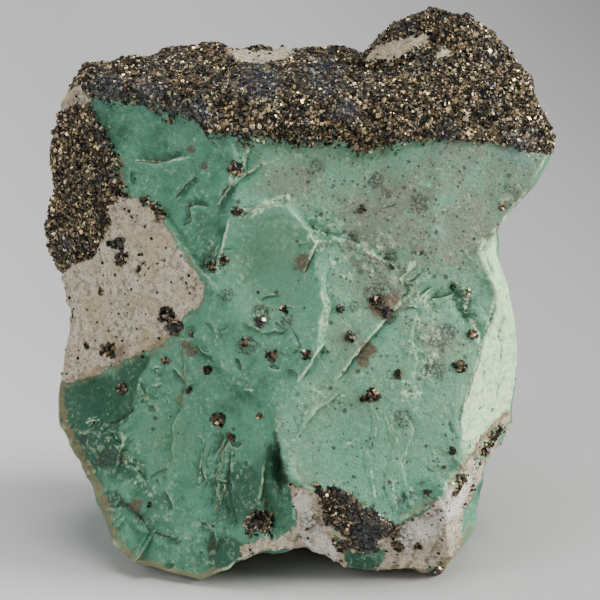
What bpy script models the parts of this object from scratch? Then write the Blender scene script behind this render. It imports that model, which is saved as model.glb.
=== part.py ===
"""A raw variscite specimen: one broken lump of green variscite with the dark pyrite crust that grew over
its top, the pyrite mass and pale matrix on its left flank, and the pale matrix under its front edge.

It is one natural piece, so it is one closed solid. Its outline and the faces on its front are placed in
the frame of a picture 600 pixels wide and high, taken from 15 degrees above, and every other surface is
placed in the specimen's own millimetres: +X to the right, +Y away from the viewer, +Z up, with the
surface it stands on at Z = 0.
"""

import math

import bmesh
import bpy
import numpy as np
from mathutils import Vector, noise

# Driving dimensions, in millimetres unless a name says otherwise.
MM = 0.001
PIXELS_PER_MM = 8.2
EYE_HEIGHT_DEG = 15.0
EYE_DISTANCE = 330.0
MIDDLE_PX = (297.0, 297.0)
MIDDLE_HEIGHT = 31.2
TOP_HEIGHT = 57.4
TOP_SLOPE = 0.07
TOP_FRONT = -9.0
FURTHEST = 60.0
TRIANGLES = 9000
FLOOR_SNAP = 0.05

# The middle of the finished specimen's box, which is moved to X = 0, Y = 0.
BOX_MIDDLE = (0.23, 0.94, 0.0)

# The hump at the back right of the crust: its middle, its half length and half depth, and its rise.
HUMP_MIDDLE = (17.0, 12.5)
HUMP_REACH = (12.0, 9.5)
HUMP_RISE = 6.0

# How the flanks draw in behind the widest outline.
FLANK_START = 4.0
FLANK_CURVE = 13.5

# Lumps on the broken surface: (size, height).
CRUST_LUMPS = (4.2, 1.1)
CRUST_KNOBS = (1.7, 0.5)
STONE_LUMPS = (9.0, 0.7)
STONE_CHIPS = (3.0, 0.28)

# The shallow hollow under the base, which leaves it standing on its rim: its middle, radius and depth.
FOOT_HOLLOW_MIDDLE = (3.0, -3.0)
FOOT_HOLLOW_RADIUS = 13.0
FOOT_HOLLOW_DEPTH = 1.3

# Rounds of smoothing, which wear the broken edges.
WORN_ROUNDS = 2

# The outline of the whole specimen, in pixels, clockwise from the right end of the crust.
OUTLINE = [
    (552, 150), (530, 188), (508, 215), (497, 230), (498, 255), (508, 290), (513, 320), (518, 355),
    (516, 380), (511, 410), (505, 431), (487, 458), (483, 482), (475, 526), (455, 553), (440, 576),
    (410, 567), (375, 571), (345, 568), (325, 554), (300, 546), (270, 547), (250, 554), (225, 572),
    (200, 580), (170, 571), (135, 560), (115, 545), (108, 520), (92, 484), (73, 452), (58, 425),
    (58, 396), (68, 360), (74, 322), (68, 298), (62, 274), (50, 238), (42, 200), (46, 160),
    (57, 125), (64, 90), (84, 69), (112, 55), (130, 43), (160, 45), (190, 41), (208, 46),
    (240, 53), (268, 45), (298, 55), (312, 46), (362, 58), (380, 38), (403, 22), (430, 14),
    (465, 17), (490, 36), (508, 56), (526, 77), (530, 100), (545, 124),
]

# The front edge of the crust: (pixel across, pixel down, depth towards the viewer in millimetres).
CRUST_LIP = [
    (56, 104, 1.0), (92, 97, 7.4), (125, 102, 9.8), (142, 104, 11.0), (165, 112, 12.6), (198, 118, 14.2),
    (206, 127, 14.6), (240, 135, 15.2), (300, 142, 15.6), (345, 142, 15.5), (362, 157, 15.2),
    (388, 142, 14.6), (430, 137, 13.7), (470, 138, 12.9), (520, 148, 11.6), (552, 154, 10.2),
]
CRUST_BACK_SLOPE = 0.32
CRUST_REACH_PX = 5.0

# The faces on the front below the crust. Each has its outline in pixels, three points of its plane as
# (pixel across, pixel down, depth towards the viewer), and how far it is hollowed at a middle, as
# (pixel across, pixel down, radius in pixels, depth of the hollow).
FACES = {
    "upper plateau": (
        [(238, 146), (350, 158), (420, 148), (430, 190), (425, 258), (398, 262), (372, 250), (345, 233),
         (318, 234), (292, 199), (262, 196), (242, 190)],
        [(240, 150, 13.5), (430, 150, 12.7), (340, 235, 13.9)],
        (350, 190, 80, 0.4),
    ),
    "plateau wing": (
        [(452, 146), (548, 158), (520, 200), (499, 228), (480, 246), (456, 260), (450, 200)],
        [(450, 160, 12.6), (545, 160, 10.6), (480, 245, 12.5)],
        (490, 190, 50, 0.3),
    ),
    "upper left face": (
        [(98, 104), (125, 112), (200, 126), (232, 142), (237, 185), (222, 212), (206, 262), (180, 226),
         (162, 203), (128, 197), (121, 165), (107, 130)],
        [(230, 150, 13.7), (105, 125, 6.6), (205, 262, 12.4)],
        (175, 190, 70, 0.6),
    ),
    "round basin": (
        [(226, 232), (262, 207), (290, 204), (316, 241), (306, 270), (300, 300), (288, 328), (260, 332),
         (236, 318), (222, 290), (220, 255)],
        [(232, 226, 14.2), (318, 242, 16.0), (262, 335, 14.5)],
        (268, 272, 58, 2.2),
    ),
    "right face": (
        [(324, 246), (346, 241), (372, 258), (400, 271), (420, 268), (446, 273), (478, 252), (492, 290),
         (490, 318), (468, 370), (458, 420), (454, 478), (420, 509), (394, 522), (346, 496), (291, 480),
         (280, 440), (303, 388), (325, 345), (328, 300)],
        [(322, 262, 15.5), (485, 290, 12.8), (400, 500, 13.4)],
        (400, 380, 90, -0.9),
    ),
    "ridge shoulder": (
        [(224, 302), (238, 325), (262, 338), (292, 334), (304, 300), (318, 280), (320, 345), (298, 385),
         (270, 385), (238, 372), (212, 350), (206, 326)],
        [(318, 300, 15.8), (225, 310, 13.6), (285, 385, 15.0)],
        (262, 365, 42, 0.5),
    ),
    "lower left basin": (
        [(196, 352), (222, 395), (262, 420), (262, 455), (262, 505), (270, 545), (240, 556), (205, 578),
         (150, 564), (120, 540), (116, 480), (133, 430), (145, 380), (160, 360)],
        [(160, 362, 8.4), (262, 425, 13.2), (200, 570, 8.6)],
        (195, 462, 85, 2.6),
    ),
    "cleft": (
        [(270, 450), (281, 470), (288, 500), (287, 524), (272, 530), (264, 500)],
        [(272, 452, 12.8), (288, 500, 11.2), (264, 505, 11.0)],
        (275, 480, 30, 0.0),
    ),
    "left scoop": (
        [(63, 388), (110, 376), (140, 364), (132, 384), (126, 414), (100, 424), (62, 418)],
        [(140, 362, 5.6), (62, 400, -1.0), (112, 432, 4.6)],
        (98, 402, 36, 2.2),
    ),
    "lower left rim": (
        [(60, 430), (100, 436), (122, 440), (110, 480), (114, 535), (138, 560), (104, 520), (88, 480)],
        [(62, 426, 0.2), (124, 444, 6.6), (122, 545, 6.0)],
        (100, 480, 30, 0.3),
    ),
    "left matrix": (
        [(124, 202), (150, 200), (165, 218), (193, 262), (203, 288), (192, 316), (180, 332), (150, 349),
         (110, 369), (66, 380), (72, 318), (66, 285), (70, 276), (112, 240)],
        [(200, 300, 12.8), (70, 340, 0.0), (130, 210, 8.4)],
        (140, 285, 60, -1.0),
    ),
    "left pyrite mass": (
        [(56, 108), (90, 106), (103, 130), (115, 160), (121, 198), (106, 235), (70, 271), (50, 245),
         (41, 205), (45, 165)],
        [(122, 195, 8.8), (44, 200, -3.0), (84, 108, 5.0)],
        (85, 180, 45, -1.2),
    ),
    "upper right flank": (
        [(484, 240), (497, 236), (501, 262), (497, 284), (489, 264)],
        [(484, 246, 12.3), (496, 286, 12.4), (501, 258, 8.8)],
        (492, 262, 20, 0.0),
    ),
    "right flank": (
        [(499, 292), (515, 318), (520, 355), (513, 410), (503, 430), (484, 453), (464, 456), (468, 400),
         (476, 368), (493, 328)],
        [(467, 400, 12.7), (497, 300, 12.4), (517, 370, 4.8)],
        (490, 360, 30, 0.0),
    ),
    "lower right vein": (
        [(508, 414), (484, 458), (462, 462), (459, 492), (444, 512), (449, 559), (475, 528), (484, 475),
         (506, 433)],
        [(500, 425, 7.4), (459, 490, 11.8), (468, 540, 5.2)],
        (472, 500, 30, 0.3),
    ),
    "bottom matrix": (
        [(293, 490), (345, 503), (372, 524), (395, 533), (420, 520), (441, 512), (447, 555), (438, 576),
         (395, 567), (345, 571), (320, 552), (300, 524)],
        [(300, 500, 12.8), (440, 505, 12.0), (395, 567, 7.0)],
        (375, 532, 70, -1.6),
    ),
}
SEAM_PX = 2.5

# Edges on the front where a flake broke away: a line in pixels, with the flake's scar on the right of its
# run, how deep the scar starts in millimetres, and how many pixels it takes to run out.
FLAKE_EDGE_PX = 2.4
FLAKES = {
    "plate edge": ([(134, 160), (150, 161), (165, 162), (178, 161), (190, 158)], -0.48, 24.0),
    "corner line": ([(250, 146), (246, 156), (243, 168), (226, 189), (219, 199)], -0.60, 14.0),
    "chip stair": (
        [(218, 205), (207, 205), (200, 204), (193, 208), (192, 220), (186, 226), (177, 225)],
        0.42, 12.0,
    ),
    "scoop edge": ([(230, 219), (224, 234), (221, 250), (214, 265), (199, 268)], 0.72, 22.0),
    "basin lip": ([(240, 222), (252, 212), (266, 206), (290, 200)], -0.54, 12.0),
    "basin ridge": ([(320, 240), (312, 252), (308, 265), (304, 274)], -0.48, 10.0),
    "notch": ([(420, 262), (408, 280), (412, 290), (399, 306)], 0.96, 16.0),
    "long diagonal crack": ([(402, 303), (375, 333), (352, 362), (334, 389)], 0.60, 14.0),
    "small scoop": ([(430, 300), (441, 296), (454, 291)], -0.60, 12.0),
    "right edge spall": ([(450, 280), (461, 300), (470, 326)], 0.84, 14.0),
    "shoulder crack": ([(323, 342), (311, 362), (296, 388)], 0.60, 16.0),
    "basin steps": ([(236, 430), (222, 452), (216, 480), (222, 512)], 0.60, 18.0),
    "scoop fold": ([(136, 408), (127, 415), (118, 420), (108, 423), (95, 424)], 0.84, 12.0),
    "foot fold": ([(134, 510), (150, 528), (178, 542)], -0.96, 16.0),
}

# Flats on the sides and back that the viewer doesn't see: a direction out, and a point that it meets.
BACK_FLATS = {
    "back": ((0.08, 1.0, 0.06), (0.0, 19.0, 34.0)),
    "back left": ((-0.60, 0.80, 0.10), (-24.0, 11.5, 30.0)),
    "back right": ((0.74, 0.66, -0.10), (25.5, 8.5, 30.0)),
    "back foot": ((0.05, 0.70, -0.72), (0.0, 13.5, 2.5)),
    "right heel": ((0.66, 0.40, -0.64), (19.5, 4.0, 4.0)),
    "left heel": ((-0.70, 0.30, -0.64), (-22.0, 4.0, 9.0)),
}

# Round scars on the back where flakes broke away: middle and radius of the ball that leaves each one.
BACK_SCARS = {
    "upper": ((-9.0, 42.0, 43.0), 26.5),
    "lower": ((12.0, 37.0, 19.0), 22.0),
    "left": ((-42.0, 24.0, 30.0), 21.0),
}

VARISCITE_COLOUR = (0.24, 0.44, 0.34, 1.0)
VARISCITE_ROUGHNESS = 0.45

EYE_UP = math.radians(EYE_HEIGHT_DEG)
RIGHTWARD = np.array([1.0, 0.0, 0.0])
UPWARD = np.array([0.0, math.sin(EYE_UP), math.cos(EYE_UP)])
TOWARDS = np.array([0.0, -math.cos(EYE_UP), math.sin(EYE_UP)])
MIDDLE = np.array([0.0, 0.0, MIDDLE_HEIGHT])


def clear_scene():
    for item in list(bpy.data.objects):
        bpy.data.objects.remove(item, do_unlink=True)


def seen_at(points):
    """The pixel across, the pixel down and the depth towards the viewer of each point."""
    from_middle = points - MIDDLE
    depth = from_middle @ TOWARDS
    pixels = PIXELS_PER_MM * EYE_DISTANCE / (EYE_DISTANCE - depth)
    across = MIDDLE_PX[0] + from_middle @ RIGHTWARD * pixels
    down = MIDDLE_PX[1] - from_middle @ UPWARD * pixels
    return across, down, depth


def pixels_inside(across, down, outline):
    """How many pixels each place lies inside an outline, less than nothing where it is outside."""
    nearest = np.full(across.shape, np.inf)
    inside = np.zeros(across.shape, bool)
    for (x0, y0), (x1, y1) in zip(outline, outline[1:] + outline[:1]):
        run, drop = x1 - x0, y1 - y0
        share = ((across - x0) * run + (down - y0) * drop) / (run * run + drop * drop)
        share = share.clip(0.0, 1.0)
        nearest = np.minimum(nearest, np.hypot(across - x0 - share * run, down - y0 - share * drop))
        if drop:
            inside ^= ((y0 > down) != (y1 > down)) & (across < x0 + (down - y0) * run / drop)
    return np.where(inside, nearest, -nearest)


def smooth_step(value):
    share = np.clip(value, 0.0, 1.0)
    return share * share * (3.0 - 2.0 * share)


def beside(across, down, line):
    """The distance to an open line in pixels, less than nothing on the left of its run, and how far the
    nearest place is along it, from 0 to 1."""
    nearest = np.full(across.shape, np.inf)
    signed = np.zeros(across.shape)
    along = np.zeros(across.shape)
    for index, ((x0, y0), (x1, y1)) in enumerate(zip(line, line[1:])):
        run, drop = x1 - x0, y1 - y0
        share = ((across - x0) * run + (down - y0) * drop) / (run * run + drop * drop)
        share = share.clip(0.0, 1.0)
        away = np.hypot(across - x0 - share * run, down - y0 - share * drop)
        side = np.sign(run * (down - y0) - drop * (across - x0))
        closer = away < nearest
        nearest = np.where(closer, away, nearest)
        signed = np.where(closer, away * side, signed)
        along = np.where(closer, (index + share) / (len(line) - 1), along)
    return signed, along


def flake_depth(across, down):
    """How much the flakes that broke away have lowered the front, in millimetres."""
    total = np.zeros(across.shape)
    for line, deep, run_out in FLAKES.values():
        signed, along = beside(across, down, line)
        side = signed * math.copysign(1.0, deep)
        scar = smooth_step(0.5 + side / FLAKE_EDGE_PX) * np.clip(1.0 - side / run_out, 0.0, 1.0) ** 1.5
        total += abs(deep) * scar * smooth_step(5.0 * along * (1.0 - along))
    return total


def plane_depth(across, down, corners):
    """The depth of the plane through three (across, down, depth) corners."""
    corners = np.array(corners, float)
    places = np.column_stack([corners[:, :2], np.ones(3)])
    slope_across, slope_down, level = np.linalg.solve(places, corners[:, 2])
    return slope_across * across + slope_down * down + level


def face_depth(across, down):
    """The depth of the broken front below the crust, its faces joined along narrow seams."""
    total = np.zeros(across.shape)
    weight = np.zeros(across.shape)
    for outline, corners, (middle_x, middle_y, radius, hollow) in FACES.values():
        outside = np.maximum(0.0, -pixels_inside(across, down, outline))
        pull = (outside**2 + SEAM_PX**2) ** -2.0
        spread = np.hypot(across - middle_x, down - middle_y) / radius
        depth = plane_depth(across, down, corners) - hollow * smooth_step(1.0 - spread)
        total += pull * depth
        weight += pull
    return total / weight


def above_lip(across, down):
    """How many pixels each place lies above the front edge of the crust."""
    lip = np.array(CRUST_LIP)
    return np.interp(across, lip[:, 0], lip[:, 1]) - down


def front_depth(across, down):
    """The depth of the whole front: the broken faces, and the crust that stands proud above its lip."""
    lip = np.array(CRUST_LIP)
    above = above_lip(across, down)
    crust = np.interp(across, lip[:, 0], lip[:, 2])
    crust = crust - CRUST_BACK_SLOPE * np.maximum(0.0, above) / PIXELS_PER_MM
    share = smooth_step(0.5 + above / CRUST_REACH_PX)
    stone = face_depth(across, down) - flake_depth(across, down)
    return stone * (1.0 - share) + crust * share


def top_height(points):
    """The height of the crust's upper surface, with the hump at the back right."""
    reach = np.hypot(
        (points[:, 0] - HUMP_MIDDLE[0]) / HUMP_REACH[0], (points[:, 1] - HUMP_MIDDLE[1]) / HUMP_REACH[1]
    )
    slope = TOP_SLOPE * (points[:, 1] - TOP_FRONT)
    return TOP_HEIGHT + slope + HUMP_RISE * smooth_step(2.0 * (1.0 - reach))


def foot_height(points):
    """How high the underside lies: on the floor round its rim, and a little above it in the middle."""
    reach = np.hypot(points[:, 0] - FOOT_HOLLOW_MIDDLE[0], points[:, 1] - FOOT_HOLLOW_MIDDLE[1])
    return FOOT_HOLLOW_DEPTH * smooth_step(1.5 * (1.0 - reach / FOOT_HOLLOW_RADIUS))


def inside_by(points):
    """How far inside the specimen each point lies, less than nothing where it is outside."""
    across, down, depth = seen_at(points)
    front = front_depth(across, down)
    flank = pixels_inside(across, down, OUTLINE) / PIXELS_PER_MM
    high_or_low = smooth_step((np.abs(down - MIDDLE_PX[1]) / PIXELS_PER_MM - 17.0) / 8.0)
    drawn_in = (np.maximum(0.0, front - FLANK_START - depth) / FLANK_CURVE) ** 2
    least = np.minimum(front - depth, flank - drawn_in * (1.0 - high_or_low))
    least = np.minimum(least, top_height(points) - points[:, 2])
    least = np.minimum(least, points[:, 2] - foot_height(points))
    for outward, meets in BACK_FLATS.values():
        outward = np.array(outward) / np.linalg.norm(outward)
        least = np.minimum(least, (np.array(meets) - points) @ outward)
    for middle, radius in BACK_SCARS.values():
        least = np.minimum(least, np.linalg.norm(points - np.array(middle), axis=1) - radius)
    return least


def reach_surface(directions):
    """The surface point that each direction from the middle meets."""
    near = np.zeros(len(directions))
    far = np.full(len(directions), FURTHEST)
    for _ in range(18):
        halfway = (near + far) / 2.0
        solid = inside_by(MIDDLE + directions * halfway[:, None]) > 0.0
        near = np.where(solid, halfway, near)
        far = np.where(solid, far, halfway)
    return MIDDLE + directions * near[:, None]


def lumps(points, size_and_height, kind, seed):
    """Rough heights over the points, at one size and height of lump."""
    size, height = size_and_height
    start = Vector((seed, 0.0, 0.0))
    places = (Vector(point) / size + start for point in points)
    return height * np.array([kind(place) for place in places])


def smooth_lump(place):
    return noise.noise(place)


def sharp_lump(place):
    """A rough of flat-sided chips, from the distance to the nearest of many scattered points."""
    return 0.7 - noise.voronoi(place)[0][0]


def on_crust(points):
    """1 on the pyrite crust and the pyrite mass, and 0 on the stone."""
    across, down, depth = seen_at(points)
    top = smooth_step((points[:, 2] - TOP_HEIGHT + 3.0) / 1.5)
    lip = smooth_step(0.5 + above_lip(across, down) / 8.0)
    mass = smooth_step(0.5 + pixels_inside(across, down, FACES["left pyrite mass"][0]) / 8.0)
    facing = smooth_step((depth - front_depth(across, down) + 6.0) / 2.0)
    return np.maximum(top, np.maximum(lip, mass) * facing)


def roughened(points, directions):
    """The surface points with lumps raised and sunk along their directions."""
    crust = on_crust(points)
    rough = lumps(points, CRUST_LUMPS, smooth_lump, 3.1) + lumps(points, CRUST_KNOBS, sharp_lump, 7.7)
    stone = lumps(points, STONE_LUMPS, smooth_lump, 1.3) + lumps(points, STONE_CHIPS, smooth_lump, 5.9)
    across, down, depth = seen_at(points)
    hidden = smooth_step((front_depth(across, down) - 3.0 - depth) / 6.0)
    rise = crust * rough + (1.0 - crust) * stone * (0.4 + 1.6 * hidden)
    near_floor = smooth_step(1.0 - points[:, 2] / 2.0)
    moved = points + directions * (rise * (1.0 - near_floor))[:, None]
    moved[:, 2] = np.maximum(0.0, moved[:, 2])
    return moved


def move_to(shape, places):
    for vertex, place in zip(shape.verts, places):
        vertex.co = place * MM


def specimen_mesh():
    stone = bmesh.new()
    bmesh.ops.create_icosphere(stone, subdivisions=7, radius=1.0)
    directions = np.array([vertex.co for vertex in stone.verts])
    directions /= np.linalg.norm(directions, axis=1)[:, None]
    move_to(stone, reach_surface(directions))
    for _ in range(WORN_ROUNDS):
        bmesh.ops.smooth_vert(
            stone, verts=stone.verts, factor=0.5, use_axis_x=True, use_axis_y=True, use_axis_z=True
        )
    worn = np.array([vertex.co for vertex in stone.verts]) / MM
    move_to(stone, roughened(worn, directions))
    bmesh.ops.recalc_face_normals(stone, faces=stone.faces)
    mesh = bpy.data.meshes.new("variscite_specimen")
    stone.to_mesh(mesh)
    stone.free()
    return mesh


def variscite_material():
    material = bpy.data.materials.new("variscite")
    material.use_nodes = True
    shader = material.node_tree.nodes["Principled BSDF"]
    shader.inputs["Base Color"].default_value = VARISCITE_COLOUR
    shader.inputs["Roughness"].default_value = VARISCITE_ROUGHNESS
    shader.inputs["Metallic"].default_value = 0.0
    return material


def apply_modifiers(item):
    graph = bpy.context.evaluated_depsgraph_get()
    finished = bpy.data.meshes.new_from_object(item.evaluated_get(graph))
    item.modifiers.clear()
    item.data = finished


def set_on_floor(mesh):
    """Make the rim of the base exactly flat, and centre the box of the mesh over the origin."""
    for vertex in mesh.vertices:
        if abs(vertex.co.z) < FLOOR_SNAP * MM:
            vertex.co.z = 0.0
        vertex.co -= Vector(BOX_MIDDLE) * MM


def make_specimen():
    mesh = specimen_mesh()
    specimen = bpy.data.objects.new("variscite_specimen", mesh)
    bpy.context.collection.objects.link(specimen)
    specimen.data.materials.append(variscite_material())
    fewer = specimen.modifiers.new("fewer_faces", "DECIMATE")
    fewer.ratio = TRIANGLES / len(mesh.polygons)
    apply_modifiers(specimen)
    set_on_floor(specimen.data)
    return specimen


clear_scene()
make_specimen()
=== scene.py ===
# %% [markdown]
# # A raw variscite specimen
#
# The object is one broken lump of green variscite, about 62 mm wide. A crust of tiny pyrite crystals grew
# over its top, a pyrite mass and a chalky pale matrix are on its left flank, and more matrix is under its
# front edge. The packed model holds the lump as one faceted solid of about nine thousand triangles. This
# lesson puts a fine surface in its place, colours it, and grows the crystals on it.

# %% Load the packed model
import math

import bmesh
import bpy
import numpy as np
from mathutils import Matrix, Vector, noise


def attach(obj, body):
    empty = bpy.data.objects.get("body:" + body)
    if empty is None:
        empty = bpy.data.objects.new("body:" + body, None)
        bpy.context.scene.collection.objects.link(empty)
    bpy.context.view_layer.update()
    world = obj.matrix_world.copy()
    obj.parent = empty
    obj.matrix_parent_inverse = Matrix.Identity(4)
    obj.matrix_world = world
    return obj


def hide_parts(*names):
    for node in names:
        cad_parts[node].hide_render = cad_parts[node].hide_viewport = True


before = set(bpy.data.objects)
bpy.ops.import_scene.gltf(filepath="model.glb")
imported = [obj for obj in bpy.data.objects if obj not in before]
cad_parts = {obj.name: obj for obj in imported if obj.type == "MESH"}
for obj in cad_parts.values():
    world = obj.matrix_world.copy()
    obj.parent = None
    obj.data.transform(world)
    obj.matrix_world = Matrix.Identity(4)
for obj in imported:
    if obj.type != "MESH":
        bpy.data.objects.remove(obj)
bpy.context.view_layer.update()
print("nodes:", sorted(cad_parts))

# %% [markdown]
# ## One picture frame for shape and colour
#
# A stone has no axes to measure from, so the places of its ledges and patches are read from a picture of
# it, 600 pixels wide and high, as seen from 15 degrees above. A point in space has a pixel across, a
# pixel down and a depth towards the viewer, and the three are worked out by one function. The shape, the
# patches of colour and the camera all use it, so they meet exactly. Lengths are in millimetres until a
# mesh is written.

# %% The picture frame
MM = 0.001
PICTURE = 600
PIXELS_PER_MM = 8.2
EYE_HEIGHT_DEG = 15.0
EYE_DISTANCE = 330.0
MIDDLE_PX = (297.0, 297.0)
BOX_MIDDLE = np.array([0.23, 0.94, 0.0])

EYE_UP = math.radians(EYE_HEIGHT_DEG)
RIGHTWARD = np.array([1.0, 0.0, 0.0])
UPWARD = np.array([0.0, math.sin(EYE_UP), math.cos(EYE_UP)])
TOWARDS = np.array([0.0, -math.cos(EYE_UP), math.sin(EYE_UP)])
MIDDLE = np.array([0.0, 0.0, 31.2])


def seen_at(points):
    """The pixel across, the pixel down and the depth towards the viewer of each point."""
    from_middle = points - MIDDLE
    depth = from_middle @ TOWARDS
    pixels = PIXELS_PER_MM * EYE_DISTANCE / (EYE_DISTANCE - depth)
    across = MIDDLE_PX[0] + from_middle @ RIGHTWARD * pixels
    down = MIDDLE_PX[1] - from_middle @ UPWARD * pixels
    return across, down, depth


print("one pixel is", round(1 / PIXELS_PER_MM, 3), "mm")

# %% [markdown]
# ## The named places of the stone
#
# A person who carves a copy would first mark the outline and the broken faces. These are the same marks
# that the packed solid was made from: the outline, the front lip of the crust, and the faces below it.
# Each face is a plane through three points, a little hollowed or crowned, because stone like this breaks
# in shells. Keeping them in step with the solid is what keeps the fine surface in the solid's box.

# %% The outline and the lip of the crust
OUTLINE = [
    (552, 150), (530, 188), (508, 215), (497, 230), (498, 255), (508, 290), (513, 320), (518, 355),
    (516, 380), (511, 410), (505, 431), (487, 458), (483, 482), (475, 526), (455, 553), (440, 576),
    (410, 567), (375, 571), (345, 568), (325, 554), (300, 546), (270, 547), (250, 554), (225, 572),
    (200, 580), (170, 571), (135, 560), (115, 545), (108, 520), (92, 484), (73, 452), (58, 425),
    (58, 396), (68, 360), (74, 322), (68, 298), (62, 274), (50, 238), (42, 200), (46, 160),
    (57, 125), (64, 90), (84, 69), (112, 55), (130, 43), (160, 45), (190, 41), (208, 46),
    (240, 53), (268, 45), (298, 55), (312, 46), (362, 58), (380, 38), (403, 22), (430, 14),
    (465, 17), (490, 36), (508, 56), (526, 77), (530, 100), (545, 124),
]
CRUST_LIP = [
    (56, 104, 1.0), (92, 97, 7.4), (125, 102, 9.8), (142, 104, 11.0), (165, 112, 12.6), (198, 118, 14.2),
    (206, 127, 14.6), (240, 135, 15.2), (300, 142, 15.6), (345, 142, 15.5), (362, 157, 15.2),
    (388, 142, 14.6), (430, 137, 13.7), (470, 138, 12.9), (520, 148, 11.6), (552, 154, 10.2),
]
CRUST_BACK_SLOPE = 0.32
CRUST_REACH_PX = 5.0
TOP_HEIGHT = 57.4
TOP_SLOPE = 0.07
TOP_FRONT = -9.0
HUMP_MIDDLE = (17.0, 12.5)
HUMP_REACH = (12.0, 9.5)
HUMP_RISE = 6.0
print(len(OUTLINE), "outline points,", len(CRUST_LIP), "points along the lip")

# %% The broken faces of the front
FACES = {
    "upper plateau": (
        [(238, 146), (350, 158), (420, 148), (430, 190), (425, 258), (398, 262), (372, 250), (345, 233),
         (318, 234), (292, 199), (262, 196), (242, 190)],
        [(240, 150, 13.5), (430, 150, 12.7), (340, 235, 13.9)],
        (350, 190, 80, 0.4),
    ),
    "plateau wing": (
        [(452, 146), (548, 158), (520, 200), (499, 228), (480, 246), (456, 260), (450, 200)],
        [(450, 160, 12.6), (545, 160, 10.6), (480, 245, 12.5)],
        (490, 190, 50, 0.3),
    ),
    "upper left face": (
        [(98, 104), (125, 112), (200, 126), (232, 142), (237, 185), (222, 212), (206, 262), (180, 226),
         (162, 203), (128, 197), (121, 165), (107, 130)],
        [(230, 150, 13.7), (105, 125, 6.6), (205, 262, 12.4)],
        (175, 190, 70, 0.6),
    ),
    "round basin": (
        [(226, 232), (262, 207), (290, 204), (316, 241), (306, 270), (300, 300), (288, 328), (260, 332),
         (236, 318), (222, 290), (220, 255)],
        [(232, 226, 14.2), (318, 242, 16.0), (262, 335, 14.5)],
        (268, 272, 58, 2.2),
    ),
    "right face": (
        [(324, 246), (346, 241), (372, 258), (400, 271), (420, 268), (446, 273), (478, 252), (492, 290),
         (490, 318), (468, 370), (458, 420), (454, 478), (420, 509), (394, 522), (346, 496), (291, 480),
         (280, 440), (303, 388), (325, 345), (328, 300)],
        [(322, 262, 15.5), (485, 290, 12.8), (400, 500, 13.4)],
        (400, 380, 90, -0.9),
    ),
    "ridge shoulder": (
        [(224, 302), (238, 325), (262, 338), (292, 334), (304, 300), (318, 280), (320, 345), (298, 385),
         (270, 385), (238, 372), (212, 350), (206, 326)],
        [(318, 300, 15.8), (225, 310, 13.6), (285, 385, 15.0)],
        (262, 365, 42, 0.5),
    ),
    "lower left basin": (
        [(196, 352), (222, 395), (262, 420), (262, 455), (262, 505), (270, 545), (240, 556), (205, 578),
         (150, 564), (120, 540), (116, 480), (133, 430), (145, 380), (160, 360)],
        [(160, 362, 8.4), (262, 425, 13.2), (200, 570, 8.6)],
        (195, 462, 85, 2.6),
    ),
    "cleft": (
        [(270, 450), (281, 470), (288, 500), (287, 524), (272, 530), (264, 500)],
        [(272, 452, 12.8), (288, 500, 11.2), (264, 505, 11.0)],
        (275, 480, 30, 0.0),
    ),
    "left scoop": (
        [(63, 388), (110, 376), (140, 364), (132, 384), (126, 414), (100, 424), (62, 418)],
        [(140, 362, 5.6), (62, 400, -1.0), (112, 432, 4.6)],
        (98, 402, 36, 2.2),
    ),
    "lower left rim": (
        [(60, 430), (100, 436), (122, 440), (110, 480), (114, 535), (138, 560), (104, 520), (88, 480)],
        [(62, 426, 0.2), (124, 444, 6.6), (122, 545, 6.0)],
        (100, 480, 30, 0.3),
    ),
    "left matrix": (
        [(124, 202), (150, 200), (165, 218), (193, 262), (203, 288), (192, 316), (180, 332), (150, 349),
         (110, 369), (66, 380), (72, 318), (66, 285), (70, 276), (112, 240)],
        [(200, 300, 12.8), (70, 340, 0.0), (130, 210, 8.4)],
        (140, 285, 60, -1.0),
    ),
    "left pyrite mass": (
        [(56, 108), (90, 106), (103, 130), (115, 160), (121, 198), (106, 235), (70, 271), (50, 245),
         (41, 205), (45, 165)],
        [(122, 195, 8.8), (44, 200, -3.0), (84, 108, 5.0)],
        (85, 180, 45, -1.2),
    ),
    "upper right flank": (
        [(484, 240), (497, 236), (501, 262), (497, 284), (489, 264)],
        [(484, 246, 12.3), (496, 286, 12.4), (501, 258, 8.8)],
        (492, 262, 20, 0.0),
    ),
    "right flank": (
        [(499, 292), (515, 318), (520, 355), (513, 410), (503, 430), (484, 453), (464, 456), (468, 400),
         (476, 368), (493, 328)],
        [(467, 400, 12.7), (497, 300, 12.4), (517, 370, 4.8)],
        (490, 360, 30, 0.0),
    ),
    "lower right vein": (
        [(508, 414), (484, 458), (462, 462), (459, 492), (444, 512), (449, 559), (475, 528), (484, 475),
         (506, 433)],
        [(500, 425, 7.4), (459, 490, 11.8), (468, 540, 5.2)],
        (472, 500, 30, 0.3),
    ),
    "bottom matrix": (
        [(293, 490), (345, 503), (372, 524), (395, 533), (420, 520), (441, 512), (447, 555), (438, 576),
         (395, 567), (345, 571), (320, 552), (300, 524)],
        [(300, 500, 12.8), (440, 505, 12.0), (395, 567, 7.0)],
        (375, 532, 70, -1.6),
    ),
}
SEAM_PX = 2.5
print(len(FACES), "faces:", ", ".join(FACES))
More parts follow.
